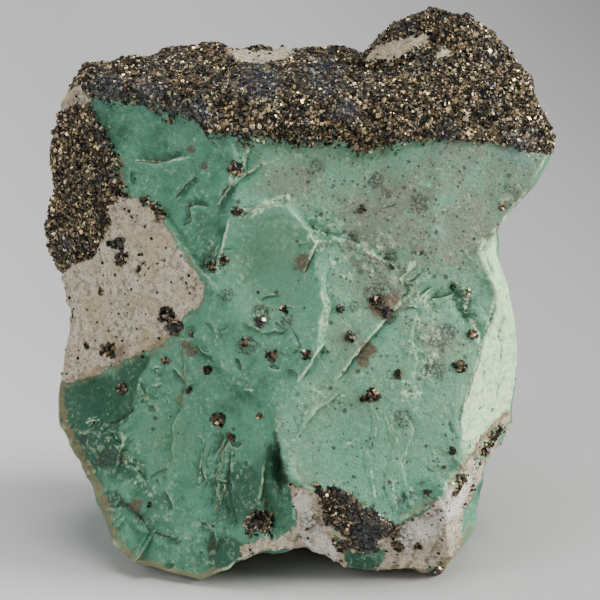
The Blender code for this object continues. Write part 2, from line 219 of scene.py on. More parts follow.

# %% [markdown]
# ## Where flakes broke away
#
# The eye knows variscite by the edges of its flakes. A flake leaves a sharp step on one side, which runs
# out smoothly on the other. One function makes every such edge from a line, a depth and a run-out, so a
# new edge costs one line of marks. The last number says how the edge is painted: above nothing, its rim is
# painted pale as light coming through thin stone, and below nothing, its crack is painted dark as shade.

# %% The flake edges: a line, how deep the scar on the right of its run starts, its run-out, and how its rim is painted: pale as light above nothing, dark as shade below
FLAKES = {
    "plate edge": ([(134, 160), (150, 161), (165, 162), (178, 161), (190, 158)], -0.40, 24, 0.8),
    "corner line": ([(250, 146), (246, 156), (243, 168), (226, 189), (219, 199)], -0.50, 14, 1.0),
    "second corner line": ([(262, 164), (250, 172), (232, 188), (222, 202), (216, 207)], -0.40, 12, 0.9),
    "upper left chip": ([(200, 175), (188, 183), (184, 190), (175, 199)], -0.35, 10, 0.8),
    "chip stair": ([(218, 205), (207, 205), (200, 204), (193, 208), (192, 220), (186, 226), (177, 225)],
                   0.35, 12, 0.7),
    "left seam": ([(119, 168), (122, 183), (127, 196)], 0.30, 8, 0.5),
    "left seam chip": ([(133, 170), (132, 189)], -0.25, 8, 0.6),
    "scoop edge": ([(230, 219), (224, 234), (221, 250), (214, 265), (199, 268)], 0.60, 22, 0.9),
    "basin lip": ([(240, 222), (252, 212), (266, 206), (290, 200)], -0.45, 12, 0.8),
    "basin ridge": ([(320, 240), (312, 252), (308, 265), (304, 274)], -0.40, 10, 1.0),
    "basin foot": ([(240, 322), (262, 334), (290, 330)], 0.35, 14, 0.3),
    "hackle one": ([(300, 216), (310, 228), (322, 230)], -0.30, 7, 0.8),
    "hackle two": ([(324, 236), (338, 238), (350, 240), (362, 250)], -0.35, 8, 0.8),
    "hackle three": ([(366, 252), (380, 258), (396, 262)], -0.30, 8, 0.6),
    "notch": ([(420, 262), (408, 280), (412, 290), (399, 306)], 0.45, 16, 1.0),
    "long diagonal crack": ([(402, 303), (375, 333), (352, 362), (334, 389)], -0.50, 14, 0.9),
    "notch groove": ([(427, 268), (418, 276), (409, 284)], 0.22, 7, -0.7),
    "short groove": ([(432, 287), (425, 292), (419, 296)], 0.30, 6, -0.6),
    "small scoop": ([(430, 300), (441, 296), (454, 291)], -0.50, 12, -0.6),
    "right edge spall": ([(450, 280), (461, 300), (470, 326)], 0.70, 14, -0.4),
    "right edge rim": ([(471, 292), (465, 311), (470, 322), (479, 335)], -0.35, 8, 0.9),
    "shoulder crack": ([(323, 342), (311, 362), (296, 388)], -0.45, 14, 0.9),
    "diagonal band": ([(345, 394), (318, 412), (292, 440)], -0.40, 18, 0.4),
    "cleft edge": ([(274, 438), (281, 462), (288, 492)], 1.30, 12, -1.0),
    "first vein": ([(368, 400), (373, 430), (366, 462), (372, 498)], 0.09, 7, 0.4),
    "second vein": ([(380, 408), (392, 445), (384, 480), (390, 508)], 0.09, 7, 0.4),
    "third vein": ([(398, 402), (414, 430), (402, 462), (413, 498)], -0.09, 7, 0.4),
    "basin steps": ([(236, 430), (222, 452), (216, 480), (222, 512)], 0.50, 18, 0.6),
    "inner basin step": ([(206, 438), (202, 465), (210, 492)], 0.35, 12, 0.6),
    "tan vein": ([(187, 320), (184, 352), (185, 384), (180, 404)], 0.25, 8, -0.3),
    "scoop fold": ([(136, 408), (127, 415), (118, 420), (108, 423), (95, 424)], 0.70, 12, -0.9),
    "scoop wall": ([(132, 378), (134, 395), (128, 412)], 0.60, 12, 0.3),
    "rim notch": ([(107, 433), (113, 441), (120, 446)], -0.50, 8, -0.9),
    "foot fold": ([(134, 510), (150, 528), (178, 542)], -1.10, 16, -1.0),
    "foot chip": ([(196, 520), (212, 534), (216, 552)], 0.50, 14, 0.5),
    "shoulder arc": ([(286, 322), (296, 334), (301, 346), (296, 353), (284, 354)], 0.12, 5, -0.6),
    "plateau line": ([(382, 211), (390, 207), (398, 203)], 0.12, 4, -0.9),
    "basin seam": ([(181, 402), (174, 424), (171, 446), (172, 470)], 0.30, 10, 0.5),
    "lens": ([(228, 432), (222, 446), (210, 460)], 0.25, 8, 0.6),
    "basin crack": ([(231, 448), (229, 468), (228, 490), (233, 512), (236, 526)], 0.35, 10, -0.5),
    "rounded chip": ([(206, 480), (216, 478), (226, 482), (228, 494), (214, 498)], 0.22, 7, 0.5),
    "lower chip": ([(164, 488), (172, 500), (176, 512)], 0.25, 8, 0.7),
    "basin rim chip": ([(148, 478), (158, 470), (170, 466)], 0.25, 8, 0.6),
    "left rim chip": ([(110, 446), (118, 452), (112, 464)], 0.30, 6, 0.6),
    "left rim chip, low": ([(126, 468), (138, 474), (146, 486)], -0.30, 7, 0.7),
    "shoulder chips": ([(196, 342), (202, 352), (212, 356)], 0.22, 6, 0.6),
    "seam chips": ([(140, 380), (146, 392), (140, 404)], -0.25, 7, 0.7),
    "flank crest": ([(497, 294), (485, 328), (477, 360), (469, 392), (462, 422), (459, 452)], 0.35, 9, 0.8),
    "flank step": ([(506, 306), (499, 328), (503, 350), (496, 372)], 0.25, 9, 0.5),
    "flank chip": ([(511, 372), (500, 384), (497, 402)], 0.25, 9, 0.5),
    "upper flank crest": ([(486, 240), (481, 252), (488, 268), (496, 284)], -0.30, 8, 0.8),
    "band crest": ([(329, 262), (324, 284), (328, 306), (327, 334)], -0.20, 9, 0.5),
    "face step": ([(420, 296), (414, 330), (420, 362), (412, 392)], -0.18, 9, 0.4),
}
FLAKE_EDGE_PX = 1.2
FLAKE_DEEPER = 1.5
print(len(FLAKES), "flake edges")

# %% Where the stone broke in splinters, as a middle and a radius in pixels
HACKLE_SPOTS = {
    "plateau foot": (320, 232, 30), "band": (372, 256, 32), "notch": (405, 285, 22),
    "basin corner": (214, 268, 12), "rim": (128, 465, 26), "basin foot": (222, 470, 24),
    "foot": (208, 545, 28), "rim low": (120, 510, 22), "seam": (155, 395, 16), "wing": (512, 195, 18),
    "spall": (472, 318, 16), "face rough": (416, 345, 15), "plateau": (455, 170, 8),
    "shoulder": (262, 318, 16), "flank": (497, 335, 12), "flank low": (462, 440, 8),
}
print(len(HACKLE_SPOTS), "splintery spots")

# %% [markdown]
# ## Maps of the front
#
# Measuring a hundred thousand points against all those lines many times over would be slow. The marks are
# measured once on a grid with one cell to a pixel, and points read it in between cells. The maps hold
# distances and depths, never colours.

# %% Distances to closed and open lines
def pixels_inside(across, down, outline):
    """How many pixels each place lies inside an outline, less than nothing where it is outside."""
    nearest = np.full(across.shape, np.inf)
    inside = np.zeros(across.shape, bool)
    for (x0, y0), (x1, y1) in zip(outline, outline[1:] + outline[:1]):
        run, drop = x1 - x0, y1 - y0
        share = ((across - x0) * run + (down - y0) * drop) / (run * run + drop * drop)
        share = share.clip(0.0, 1.0)
        nearest = np.minimum(nearest, np.hypot(across - x0 - share * run, down - y0 - share * drop))
        if drop:
            inside ^= ((y0 > down) != (y1 > down)) & (across < x0 + (down - y0) * run / drop)
    return np.where(inside, nearest, -nearest)


def beside(across, down, line):
    """The distance to an open line in pixels, less than nothing on the left of its run, and how far the
    nearest place is along it, from 0 to 1."""
    nearest = np.full(across.shape, np.inf)
    signed = np.zeros(across.shape)
    along = np.zeros(across.shape)
    for index, ((x0, y0), (x1, y1)) in enumerate(zip(line, line[1:])):
        run, drop = x1 - x0, y1 - y0
        share = ((across - x0) * run + (down - y0) * drop) / (run * run + drop * drop)
        share = share.clip(0.0, 1.0)
        away = np.hypot(across - x0 - share * run, down - y0 - share * drop)
        side = np.sign(run * (down - y0) - drop * (across - x0))
        closer = away < nearest
        nearest = np.where(closer, away, nearest)
        signed = np.where(closer, away * side, signed)
        along = np.where(closer, (index + share) / (len(line) - 1), along)
    return signed, along


centre = np.array([PICTURE / 2])
from_edge = float(pixels_inside(centre, centre, OUTLINE)[0])
print("the centre lies", round(from_edge), "pixels inside the outline")

# %% Smooth steps and tilted planes
def smooth_step(value):
    share = np.clip(value, 0.0, 1.0)
    return share * share * (3.0 - 2.0 * share)


def plane_depth(across, down, corners):
    """The depth of the plane through three (across, down, depth) corners."""
    corners = np.array(corners, float)
    places = np.column_stack([corners[:, :2], np.ones(3)])
    slope_across, slope_down, level = np.linalg.solve(places, corners[:, 2])
    return slope_across * across + slope_down * down + level


print("a quarter of the way, a smooth step has risen", round(float(smooth_step(0.25)), 3))

# %% Read a map between its cells
GRID_DOWN, GRID_ACROSS = np.mgrid[0:PICTURE, 0:PICTURE].astype(float)


def read(chart, across, down):
    """The value of a map at each place, between its cells."""
    x = np.clip(across, 0.0, PICTURE - 1.001)
    y = np.clip(down, 0.0, PICTURE - 1.001)
    left, top = x.astype(int), y.astype(int)
    x, y = x - left, y - top
    upper = chart[top, left] * (1.0 - x) + chart[top, left + 1] * x
    lower = chart[top + 1, left] * (1.0 - x) + chart[top + 1, left + 1] * x
    return upper * (1.0 - y) + lower * y


print("a map has", GRID_DOWN.size, "cells")

# %% Shake the grid, so that straight marks come out ragged
RAGGED = [(26, 2.4), (11, 1.3), (5, 0.7)]
RAGGED_OUTLINE = [(11, 0.8), (5, 0.6)]


def random_map(cell, seed):
    """A smooth random map from -1 to 1, with cells of a size in pixels."""
    knots = np.random.default_rng(seed).uniform(-1.0, 1.0, (PICTURE // cell + 3, PICTURE // cell + 3))
    x, y = GRID_ACROSS / cell, GRID_DOWN / cell
    left, top = x.astype(int), y.astype(int)
    x, y = smooth_step(x - left), smooth_step(y - top)
    upper = knots[top, left] * (1.0 - x) + knots[top, left + 1] * x
    lower = knots[top + 1, left] * (1.0 - x) + knots[top + 1, left + 1] * x
    return upper * (1.0 - y) + lower * y


def ragged(grid, layers, seed):
    """The grid with its lines shaken, so that a straight mark made on it comes out broken and uneven."""
    return grid + sum(reach * random_map(cell, seed + cell) for cell, reach in layers)


SHAKEN_ACROSS, SHAKEN_DOWN = ragged(GRID_ACROSS, RAGGED, 100), ragged(GRID_DOWN, RAGGED, 200)
print("marks are shaken by up to", round(float(np.abs(SHAKEN_ACROSS - GRID_ACROSS).max()), 1), "pixels")

# %% Measure the outline, the lip and the faces
flank_map = pixels_inside(
    ragged(GRID_ACROSS, RAGGED_OUTLINE, 300), ragged(GRID_DOWN, RAGGED_OUTLINE, 400), OUTLINE
)
lip = np.array(CRUST_LIP)
lip_map = np.interp(SHAKEN_ACROSS, lip[:, 0], lip[:, 1]) - SHAKEN_DOWN
face_maps = {name: pixels_inside(SHAKEN_ACROSS, SHAKEN_DOWN, face[0]) for name, face in FACES.items()}
print("maps made for the outline, the lip and", len(face_maps), "faces")

# %% The depth of the faces
SEAM_POWER = -2.0
total, weight = np.zeros(flank_map.shape), np.zeros(flank_map.shape)
for name, (_, corners, (middle_x, middle_y, radius, hollow)) in FACES.items():
    pull = (np.maximum(0.0, -face_maps[name]) ** 2 + SEAM_PX**2) ** SEAM_POWER
    spread = np.hypot(GRID_ACROSS - middle_x, GRID_DOWN - middle_y) / radius
    depth = plane_depth(GRID_ACROSS, GRID_DOWN, corners) - hollow * smooth_step(1.0 - spread)
    total += pull * depth
    weight += pull
face_depth = total / weight
print("faces from", round(float(face_depth[flank_map > 0].min()), 1), "to",
      round(float(face_depth[flank_map > 0].max()), 1), "mm towards the viewer")

# %% [markdown]
# ## Small chips
#
# Between the edges that the eye can follow, the stone is covered with small shell-shaped chips. Placing
# each by hand would take long and look regular. They are drawn at random instead, from a fixed seed, so
# the stone is the same each time, and half of them are crowded where the stone broke badly.

# %% Draw the chips
CHIP_COUNT = 80
CHIP_SEED = 5
CHIP_DEPTHS = (0.008, 0.020)
# How pale each chip's rim is painted, as light coming through its thin edge.
CHIP_RIMS = (0.2, 0.9)
CROWDED_RADII_PX = (3.0, 8.0)
SCATTERED_RADII_PX = (6.0, 17.0)
SCATTERED_ACROSS = (70, 515)
SCATTERED_DOWN = (110, 565)
CLEAR_OF_OUTLINE_PX = 10
CLEAR_OF_LIP_PX = 8
SMOOTH_FACES = ("left matrix", "left pyrite mass", "bottom matrix", "upper plateau", "plateau wing")


def chip_fits(middle_x, middle_y):
    """Whether a chip may lie there: on the green, clear of the outline, the crust and smooth faces."""
    place = int(np.clip(middle_y, 0, PICTURE - 1)), int(np.clip(middle_x, 0, PICTURE - 1))
    if flank_map[place] < CLEAR_OF_OUTLINE_PX or lip_map[place] > -CLEAR_OF_LIP_PX:
        return False
    return max(face_maps[name][place] for name in SMOOTH_FACES) <= 0


def small_chips():
    """The chips as arcs, each with a depth, a run-out and a rim."""
    draws = np.random.default_rng(CHIP_SEED)
    crowded = list(HACKLE_SPOTS.values())
    chips = []
    while len(chips) < CHIP_COUNT:
        if len(chips) % 2:
            middle_x, middle_y, reach = crowded[draws.integers(len(crowded))]
            middle_x += draws.normal(0.0, 0.6 * reach)
            middle_y += draws.normal(0.0, 0.6 * reach)
            radius = draws.uniform(*CROWDED_RADII_PX)
        else:
            middle_x, middle_y = draws.uniform(*SCATTERED_ACROSS), draws.uniform(*SCATTERED_DOWN)
            radius = draws.uniform(*SCATTERED_RADII_PX)
        start, span = draws.uniform(-2.6, 1.0), draws.uniform(1.0, 2.2)
        deep, rim = radius * draws.uniform(*CHIP_DEPTHS), draws.uniform(*CHIP_RIMS)
        if not chip_fits(middle_x, middle_y):
            continue
        turns = start + span * np.linspace(0.0, 1.0, 4)
        width = radius * draws.uniform(0.7, 1.3)
        line = [(middle_x + width * math.cos(turn), middle_y + radius * math.sin(turn)) for turn in turns]
        chips.append((line, deep, radius, rim))
    return chips


chips = small_chips()
print(len(chips), "chips, the deepest", round(max(chip[1] for chip in chips) * FLAKE_DEEPER, 2), "mm")

# %% Cut the flake edges and the chips into the map
FLAKE_MARGIN_PX = 16
RIM_REACH_PX = 9.0
FAR_FROM_RIM_PX = 99.0
scar_depth = np.zeros(flank_map.shape)
rim_side = np.full(flank_map.shape, FAR_FROM_RIM_PX)
# How each edge's rim is painted: pale as light through thin stone where its number is above nothing, and
# dark as shade in the crack where it is below nothing.
rim_light_and_shade = np.zeros(flank_map.shape)
rim_step = np.zeros(flank_map.shape)
for line, deep, run_out, rim in [*FLAKES.values(), *chips]:
    marks = np.array(line)
    x0, y0 = marks.min(0) - run_out - FLAKE_MARGIN_PX
    x1, y1 = marks.max(0) + run_out + FLAKE_MARGIN_PX
    here = slice(max(0, int(y0)), int(y1)), slice(max(0, int(x0)), int(x1))
    signed, along = beside(SHAKEN_ACROSS[here], SHAKEN_DOWN[here], line)
    side = signed * math.copysign(1.0, deep)
    fade = smooth_step(5.0 * along * (1.0 - along))
    scar = smooth_step(0.5 + side / FLAKE_EDGE_PX) * np.clip(1.0 - side / run_out, 0.0, 1.0) ** 1.5
    scar_depth[here] += abs(deep) * FLAKE_DEEPER * scar * fade
    closer = np.abs(side) < np.abs(rim_side[here])
    near = fade * smooth_step(2.0 - np.abs(side) / RIM_REACH_PX)
    for chart, value in ((rim_light_and_shade, rim * near), (rim_step, abs(deep) * near), (rim_side, side)):
        chart[here] = np.where(closer, value, chart[here])
print("deepest scar", round(float(scar_depth.max()), 2), "mm")

# %% Join the crust to the faces
crust_depth = np.interp(GRID_ACROSS, lip[:, 0], lip[:, 2])
crust_depth -= CRUST_BACK_SLOPE * np.maximum(0.0, lip_map) / PIXELS_PER_MM
on_lip = smooth_step(0.5 + lip_map / CRUST_REACH_PX)
front_map = (face_depth - scar_depth) * (1.0 - on_lip) + crust_depth * on_lip
print("front from", round(float(front_map[flank_map > 0].min()), 1), "to",
      round(float(front_map[flank_map > 0].max()), 1), "mm towards the viewer")

# %% [markdown]
# ## The fine surface
#
# The stone could be sculpted by hand, but then nobody could change it. Here a ball is the start, because
# it is closed and even, and each of its points slides out along its own direction until it meets the
# stone's surface. Where the viewer sees the front, edges that are too long are divided and slid out
# again, so the small steps get points and the hidden back doesn't waste them.

# %% The solid that the points slide out to
FLANK_START = 4.0
FLANK_CURVE = 13.5
FOOT_HOLLOW_MIDDLE = (3.0, -3.0)
FOOT_HOLLOW_RADIUS = 13.0
FOOT_HOLLOW_DEPTH = 1.3
BACK_FLATS = {
    "back": ((0.08, 1.0, 0.06), (0.0, 19.0, 34.0)),
    "back left": ((-0.60, 0.80, 0.10), (-24.0, 11.5, 30.0)),
    "back right": ((0.74, 0.66, -0.10), (25.5, 8.5, 30.0)),
    "back foot": ((0.05, 0.70, -0.72), (0.0, 13.5, 2.5)),
    "right heel": ((0.66, 0.40, -0.64), (19.5, 4.0, 4.0)),
    "left heel": ((-0.70, 0.30, -0.64), (-22.0, 4.0, 9.0)),
}
BACK_SCARS = {
    "upper": ((-9.0, 42.0, 43.0), 26.5),
    "lower": ((12.0, 37.0, 19.0), 22.0),
    "left": ((-42.0, 24.0, 30.0), 21.0),
}
CURVED_WITHIN = 17.0
CURVED_FADE = 8.0


def top_height(points):
    """The height of the crust's upper surface, with the hump at the back right."""
    reach = np.hypot(
        (points[:, 0] - HUMP_MIDDLE[0]) / HUMP_REACH[0], (points[:, 1] - HUMP_MIDDLE[1]) / HUMP_REACH[1]
    )
    slope = TOP_SLOPE * (points[:, 1] - TOP_FRONT)
    return TOP_HEIGHT + slope + HUMP_RISE * smooth_step(2.0 * (1.0 - reach))


def foot_height(points):
    """How high the underside lies: on the floor round its rim, and a little above it in the middle."""
    reach = np.hypot(points[:, 0] - FOOT_HOLLOW_MIDDLE[0], points[:, 1] - FOOT_HOLLOW_MIDDLE[1])
    return FOOT_HOLLOW_DEPTH * smooth_step(1.5 * (1.0 - reach / FOOT_HOLLOW_RADIUS))


def inside_by(points):
    """How far inside the specimen each point lies, less than nothing where it is outside."""
    across, down, depth = seen_at(points)
    front = read(front_map, across, down)
    flank = read(flank_map, across, down) / PIXELS_PER_MM
    from_middle = np.abs(down - MIDDLE_PX[1]) / PIXELS_PER_MM
    high_or_low = smooth_step((from_middle - CURVED_WITHIN) / CURVED_FADE)
    drawn_in = (np.maximum(0.0, front - FLANK_START - depth) / FLANK_CURVE) ** 2
    least = np.minimum(front - depth, flank - drawn_in * (1.0 - high_or_low))
    least = np.minimum(least, top_height(points) - points[:, 2])
    least = np.minimum(least, points[:, 2] - foot_height(points))
    for outward, meets in BACK_FLATS.values():
        outward = np.array(outward) / np.linalg.norm(outward)
        least = np.minimum(least, (np.array(meets) - points) @ outward)
    for middle, radius in BACK_SCARS.values():
        least = np.minimum(least, np.linalg.norm(points - np.array(middle), axis=1) - radius)
    return least


middle_depth = float(inside_by(MIDDLE[None, :])[0])
print("the middle lies", round(middle_depth, 1), "mm inside the stone")

# %% Slide points out until they meet the surface
FARTHEST = 60.0
HALVINGS = 18


def reach_surface(directions):
    """The surface point that each direction from the middle meets."""
    near = np.zeros(len(directions))
    far = np.full(len(directions), FARTHEST)
    for _ in range(HALVINGS):
        halfway = (near + far) / 2.0
        solid = inside_by(MIDDLE + directions * halfway[:, None]) > 0.0
        near = np.where(solid, halfway, near)
        far = np.where(solid, far, halfway)
    return MIDDLE + directions * near[:, None]


leftmost, topmost = reach_surface(np.array([[-1.0, 0.0, 0.0], [0.0, 0.0, 1.0]]))
print("the surface is met", round(-leftmost[0], 1), "mm to the left and", round(topmost[2], 1), "mm up")

# %% Divide the ball where the surface needs points
LONGEST_EDGE_SEEN = 0.44
LONGEST_EDGE_LEDGE = 0.22
LONGEST_EDGE_CRUST = 0.85
LONGEST_EDGE_HIDDEN = 1.70
LEDGE_REACH_PX = 4.5
DIVIDE_ROUNDS = 4


def places_of(shape):
    return np.array([vertex.co for vertex in shape.verts])


def outward_of(shape):
    """The direction of each point of the ball from its middle."""
    directions = places_of(shape)
    return directions / np.linalg.norm(directions, axis=1)[:, None]


def longest_edge(points):
    """How long an edge may be at each point: shortest on the green front, longest where it is hidden."""
    across, down, depth = seen_at(points)
    hidden = smooth_step((read(front_map, across, down) - 1.5 - depth) / 3.0)
    crust = smooth_step(0.5 + read(lip_map, across, down) / 10.0)
    ledge = smooth_step(1.5 - np.abs(read(rim_side, across, down)) / LEDGE_REACH_PX)
    seen = LONGEST_EDGE_SEEN * (1.0 - ledge) + LONGEST_EDGE_LEDGE * ledge
    seen = seen * (1.0 - crust) + LONGEST_EDGE_CRUST * crust
    hidden = hidden * (1.0 - crust * smooth_step((points[:, 2] - TOP_HEIGHT + 2.0) / 2.0))
    return seen * (1.0 - hidden) + LONGEST_EDGE_HIDDEN * hidden


stone = bmesh.new()
bmesh.ops.create_icosphere(stone, subdivisions=6, radius=1.0)
for _ in range(DIVIDE_ROUNDS):
    surface = reach_surface(outward_of(stone))
    ends = np.array([(edge.verts[0].index, edge.verts[1].index) for edge in stone.edges])
    lengths = np.linalg.norm(surface[ends[:, 0]] - surface[ends[:, 1]], axis=1)
    too_long = lengths > longest_edge((surface[ends[:, 0]] + surface[ends[:, 1]]) / 2.0)
    long_edges = [edge for edge, long in zip(stone.edges, too_long) if long]
    bmesh.ops.subdivide_edges(stone, edges=long_edges, cuts=1, use_grid_fill=True)
    bmesh.ops.triangulate(stone, faces=stone.faces)
    stone.verts.index_update()
    print("divided to", len(stone.faces), "triangles")

# %% [markdown]
# ## Wear
#
# A fresh fracture is sharp, but a specimen that has been handled has its finest edges worn. One round of
# smoothing does that. The points then know where they are in the picture frame, so each can be asked
# whether the viewer sees it: the hidden sides take their patches from noises and a few round spots.

# %% Wear the edges
WORN_ROUNDS = 1
directions = outward_of(stone)
for vertex, place in zip(stone.verts, reach_surface(directions)):
    vertex.co = place
for _ in range(WORN_ROUNDS):
    bmesh.ops.smooth_vert(
        stone, verts=stone.verts, factor=0.5, use_axis_x=True, use_axis_y=True, use_axis_z=True
    )
surface = places_of(stone)
across, down, depth = seen_at(surface)
print("worn", len(surface), "points")

# %% Tell the seen front from the hidden sides
under_top = top_height(surface) - surface[:, 2]
hidden = smooth_step((read(front_map, across, down) - 2.0 - depth) / 4.0)
hidden = hidden * smooth_step((under_top - 0.8) / 1.2)
seen = 1.0 - hidden
print("hidden share of the points:", round(float((hidden > 0.5).mean()), 2))

# %% [markdown]
# ## Patches of pyrite and matrix
#
# What covers the stone changes along ragged borders. For pyrite and matrix every point keeps its distance
# from the border, inwards positive, and the material adds a fine noise to it before it cuts. That gives a
# border as sharp and as ragged as the picture needs, on points a third of a millimetre apart.

# %% The outlines of pyrite and matrix
PYRITE_PATCHES = {
    "left mass": [(58, 112), (75, 106), (92, 105), (105, 130), (116, 155), (121, 178), (128, 202),
                  (122, 222), (118, 244), (106, 262), (95, 276), (80, 288), (56, 282), (38, 246),
                  (34, 200), (38, 160)],
}
PYRITE_SEAMS = {
    "bottom": [(316, 484), (340, 490), (364, 503), (386, 518), (394, 534), (372, 541), (345, 536),
               (326, 520)],
    "bottom band": [(332, 541), (352, 538), (378, 542), (376, 553), (336, 553)],
    "foot": [(244, 520), (258, 513), (274, 516), (272, 534), (248, 536)],
    "flank": [(500, 424), (505, 428), (482, 458), (474, 462), (482, 444)],
    "flank foot": [(458, 470), (464, 472), (456, 494), (450, 498)],
    "foot tip": [(426, 566), (442, 562), (446, 574), (432, 580)],
    "matrix top": [(146, 196), (158, 206), (166, 226), (160, 224), (150, 208), (140, 203)],
}
MATRIX_PATCHES = {
    "left flank": [(122, 201), (134, 197), (147, 198), (157, 213), (172, 234), (190, 262), (203, 284),
                   (204, 296), (199, 307), (190, 312), (183, 318), (181, 330), (172, 335), (150, 350),
                   (138, 357), (108, 370), (60, 384), (60, 360), (66, 318), (60, 298), (56, 276),
                   (85, 262), (108, 235), (112, 215)],
    "upper left": [(50, 122), (60, 88), (78, 86), (90, 94), (94, 104), (75, 107), (62, 118)],
    "bottom": [(290, 485), (345, 500), (370, 520), (395, 529), (420, 516), (440, 502), (455, 482),
               (462, 465), (495, 418), (512, 410), (510, 433), (489, 458), (472, 490), (464, 520),
               (462, 553), (440, 580), (395, 575), (345, 575), (320, 562), (280, 560), (243, 560),
               (242, 548), (262, 541), (284, 536), (299, 524), (297, 515)],
    "crust, left": [(222, 52), (240, 50), (262, 47), (284, 42), (300, 52), (290, 62), (270, 64),
                    (258, 70), (238, 67)],
    "crust, hump": [(362, 62), (374, 50), (392, 38), (425, 33), (428, 46), (408, 54), (390, 64)],
    "crust, hump crest": [(430, 50), (450, 48), (452, 58), (434, 61)],
}
GREEN_WINDOW = [(345, 553), (386, 553), (379, 568), (366, 575), (350, 571)]
BACK_MATRIX_SPOTS = {
    "left side": ((-25.0, 6.0, 28.0), 11.0),
    "back foot": ((9.0, 14.0, 4.0), 9.0),
    "right heel": ((25.0, 4.0, 9.0), 6.5),
    "back seam": ((-6.0, 19.0, 22.0), 6.0),
}
LEFT_MASS_BACK = ((-28.0, 3.0, 44.0), 9.5)
CRUST_THICK = 4.2
print(len(PYRITE_PATCHES) + len(PYRITE_SEAMS), "outlines of pyrite and", len(MATRIX_PATCHES), "of matrix")

# %% How far inside an outline or a ball a point lies
FAR_OUTSIDE = -9.0


def inside_outlines(outlines):
    """How many millimetres each point lies inside the nearest of several outlines."""
    deepest = np.full(len(surface), FAR_OUTSIDE)
    for outline in outlines:
        chart = pixels_inside(SHAKEN_ACROSS, SHAKEN_DOWN, outline)
        deepest = np.maximum(deepest, read(chart, across, down) / PIXELS_PER_MM)
    return deepest


def inside_balls(balls):
    """How many millimetres each point lies inside the nearest of several balls."""
    inside = [radius - np.linalg.norm(surface - np.array(middle), axis=1) for middle, radius in balls]
    return np.max(inside, axis=0)


def lumps(points, size, height, kind, seed):
    """Rough heights over the points, at one size and height of lump."""
    start = Vector((seed, 0.0, 0.0))
    return height * np.array([kind(Vector(point) / size + start) for point in points])


# %% Measure every point against the pyrite
seams = inside_outlines(PYRITE_SEAMS.values())
pyrite = np.maximum(read(lip_map, across, down) / PIXELS_PER_MM, seams)
pyrite = np.maximum(pyrite, inside_outlines(PYRITE_PATCHES.values()))
back_crust = CRUST_THICK - under_top + 1.6 * lumps(surface, 5.0, 1.0, noise.noise, 14.0)
left_side = inside_balls([LEFT_MASS_BACK]) + lumps(surface, 4.0, 1.6, noise.noise, 21.0)
pyrite = pyrite * seen + np.maximum(back_crust, left_side) * hidden
print("pyrite on", round(float((pyrite > 0).mean()), 2), "of the points")

# %% Measure every point against the matrix
matrix = inside_outlines(MATRIX_PATCHES.values())
matrix = np.minimum(np.minimum(matrix, -seams), -inside_outlines([GREEN_WINDOW]))
back_matrix = np.maximum(FAR_OUTSIDE, inside_balls(BACK_MATRIX_SPOTS.values()))
back_matrix = back_matrix + lumps(surface, 8.0, 5.5, noise.noise, 33.0)
back_matrix = back_matrix + lumps(surface, 2.2, 1.8, noise.noise, 34.0)
matrix = matrix * seen + back_matrix * hidden
print("matrix on", round(float((matrix > 0).mean()), 2), "of the points")

# %% [markdown]
# ## Rind, pale flakes, stains, dirt and painted shade
#
# These are marks painted on the surface and take no height. The tan rind and the pale rims follow lines,
# and iron stain, dirt and tarnish sit in spots. Some pale rims are painted highlights, and the dark lines
# in the folds and the band under the crust lip are painted shade. Two helpers are enough: each mark is
# strongest in its middle, fades at its border, and where two overlap the stronger one shows.

# %% Marks along lines and in spots
def over_lines(lines):
    """The strongest of many lines at each point, each with a width in pixels and a strength."""
    strongest = np.zeros(len(surface))
    for line, width, strength in lines.values():
        signed, _ = beside(across, down, line)
        strongest = np.maximum(strongest, strength * smooth_step(1.3 - np.abs(signed) / width))
    return strongest


def over_spots(spots):
    """The strongest of many round spots at each point, each with a radius in pixels."""
    strongest = np.zeros(len(surface))
    for middle_x, middle_y, radius, *strength in spots.values():
        reach = smooth_step(1.3 - np.hypot(across - middle_x, down - middle_y) / radius)
        strongest = np.maximum(strongest, math.prod(strength) * reach)
    return strongest


# %% The tan rind
TAN_LINES = {
    "matrix rim": ([(150, 200), (172, 234), (190, 262), (204, 288), (198, 312), (184, 324)], 7, 0.50),
    "matrix foot": ([(182, 332), (150, 351), (110, 369), (66, 383)], 9, 0.60),
    "lower left edge": ([(62, 384), (59, 400), (61, 425), (76, 452), (93, 482), (104, 505), (112, 532),
                         (130, 554), (160, 568), (196, 580), (216, 574)], 8, 0.85),
    "flank vein": ([(508, 412), (482, 440), (462, 468), (455, 495), (440, 512)], 5, 0.8),
    "cleft side": ([(292, 450), (299, 470), (306, 488)], 5, 0.55),
    "face foot": ([(398, 521), (420, 509), (440, 498), (456, 480)], 7, 0.55),
    "bottom rim": ([(292, 490), (303, 523), (320, 552), (345, 570)], 5, 0.5),
    "foot rim": ([(395, 568), (440, 574), (456, 552), (472, 528)], 5, 0.9),
    "green vein": ([(187, 322), (184, 352), (185, 384), (181, 402)], 7, 0.55),
    "left seam": ([(121, 160), (123, 183), (128, 196)], 4, 0.9),
    "lip tan": ([(226, 124), (236, 126)], 6, 0.9),
    "lower basin tan": ([(222, 440), (224, 470), (212, 520)], 4, 0.5),
}
back_tan = smooth_step(1.4 - np.abs(back_matrix) / 0.8) * 0.5
back_tan = np.maximum(back_tan, smooth_step(1.2 - surface[:, 2] / 4.0) * 0.7)
tan = over_lines(TAN_LINES) * seen + back_tan * hidden
print("tan on", round(float((tan > 0.4).mean()), 3), "of the points")
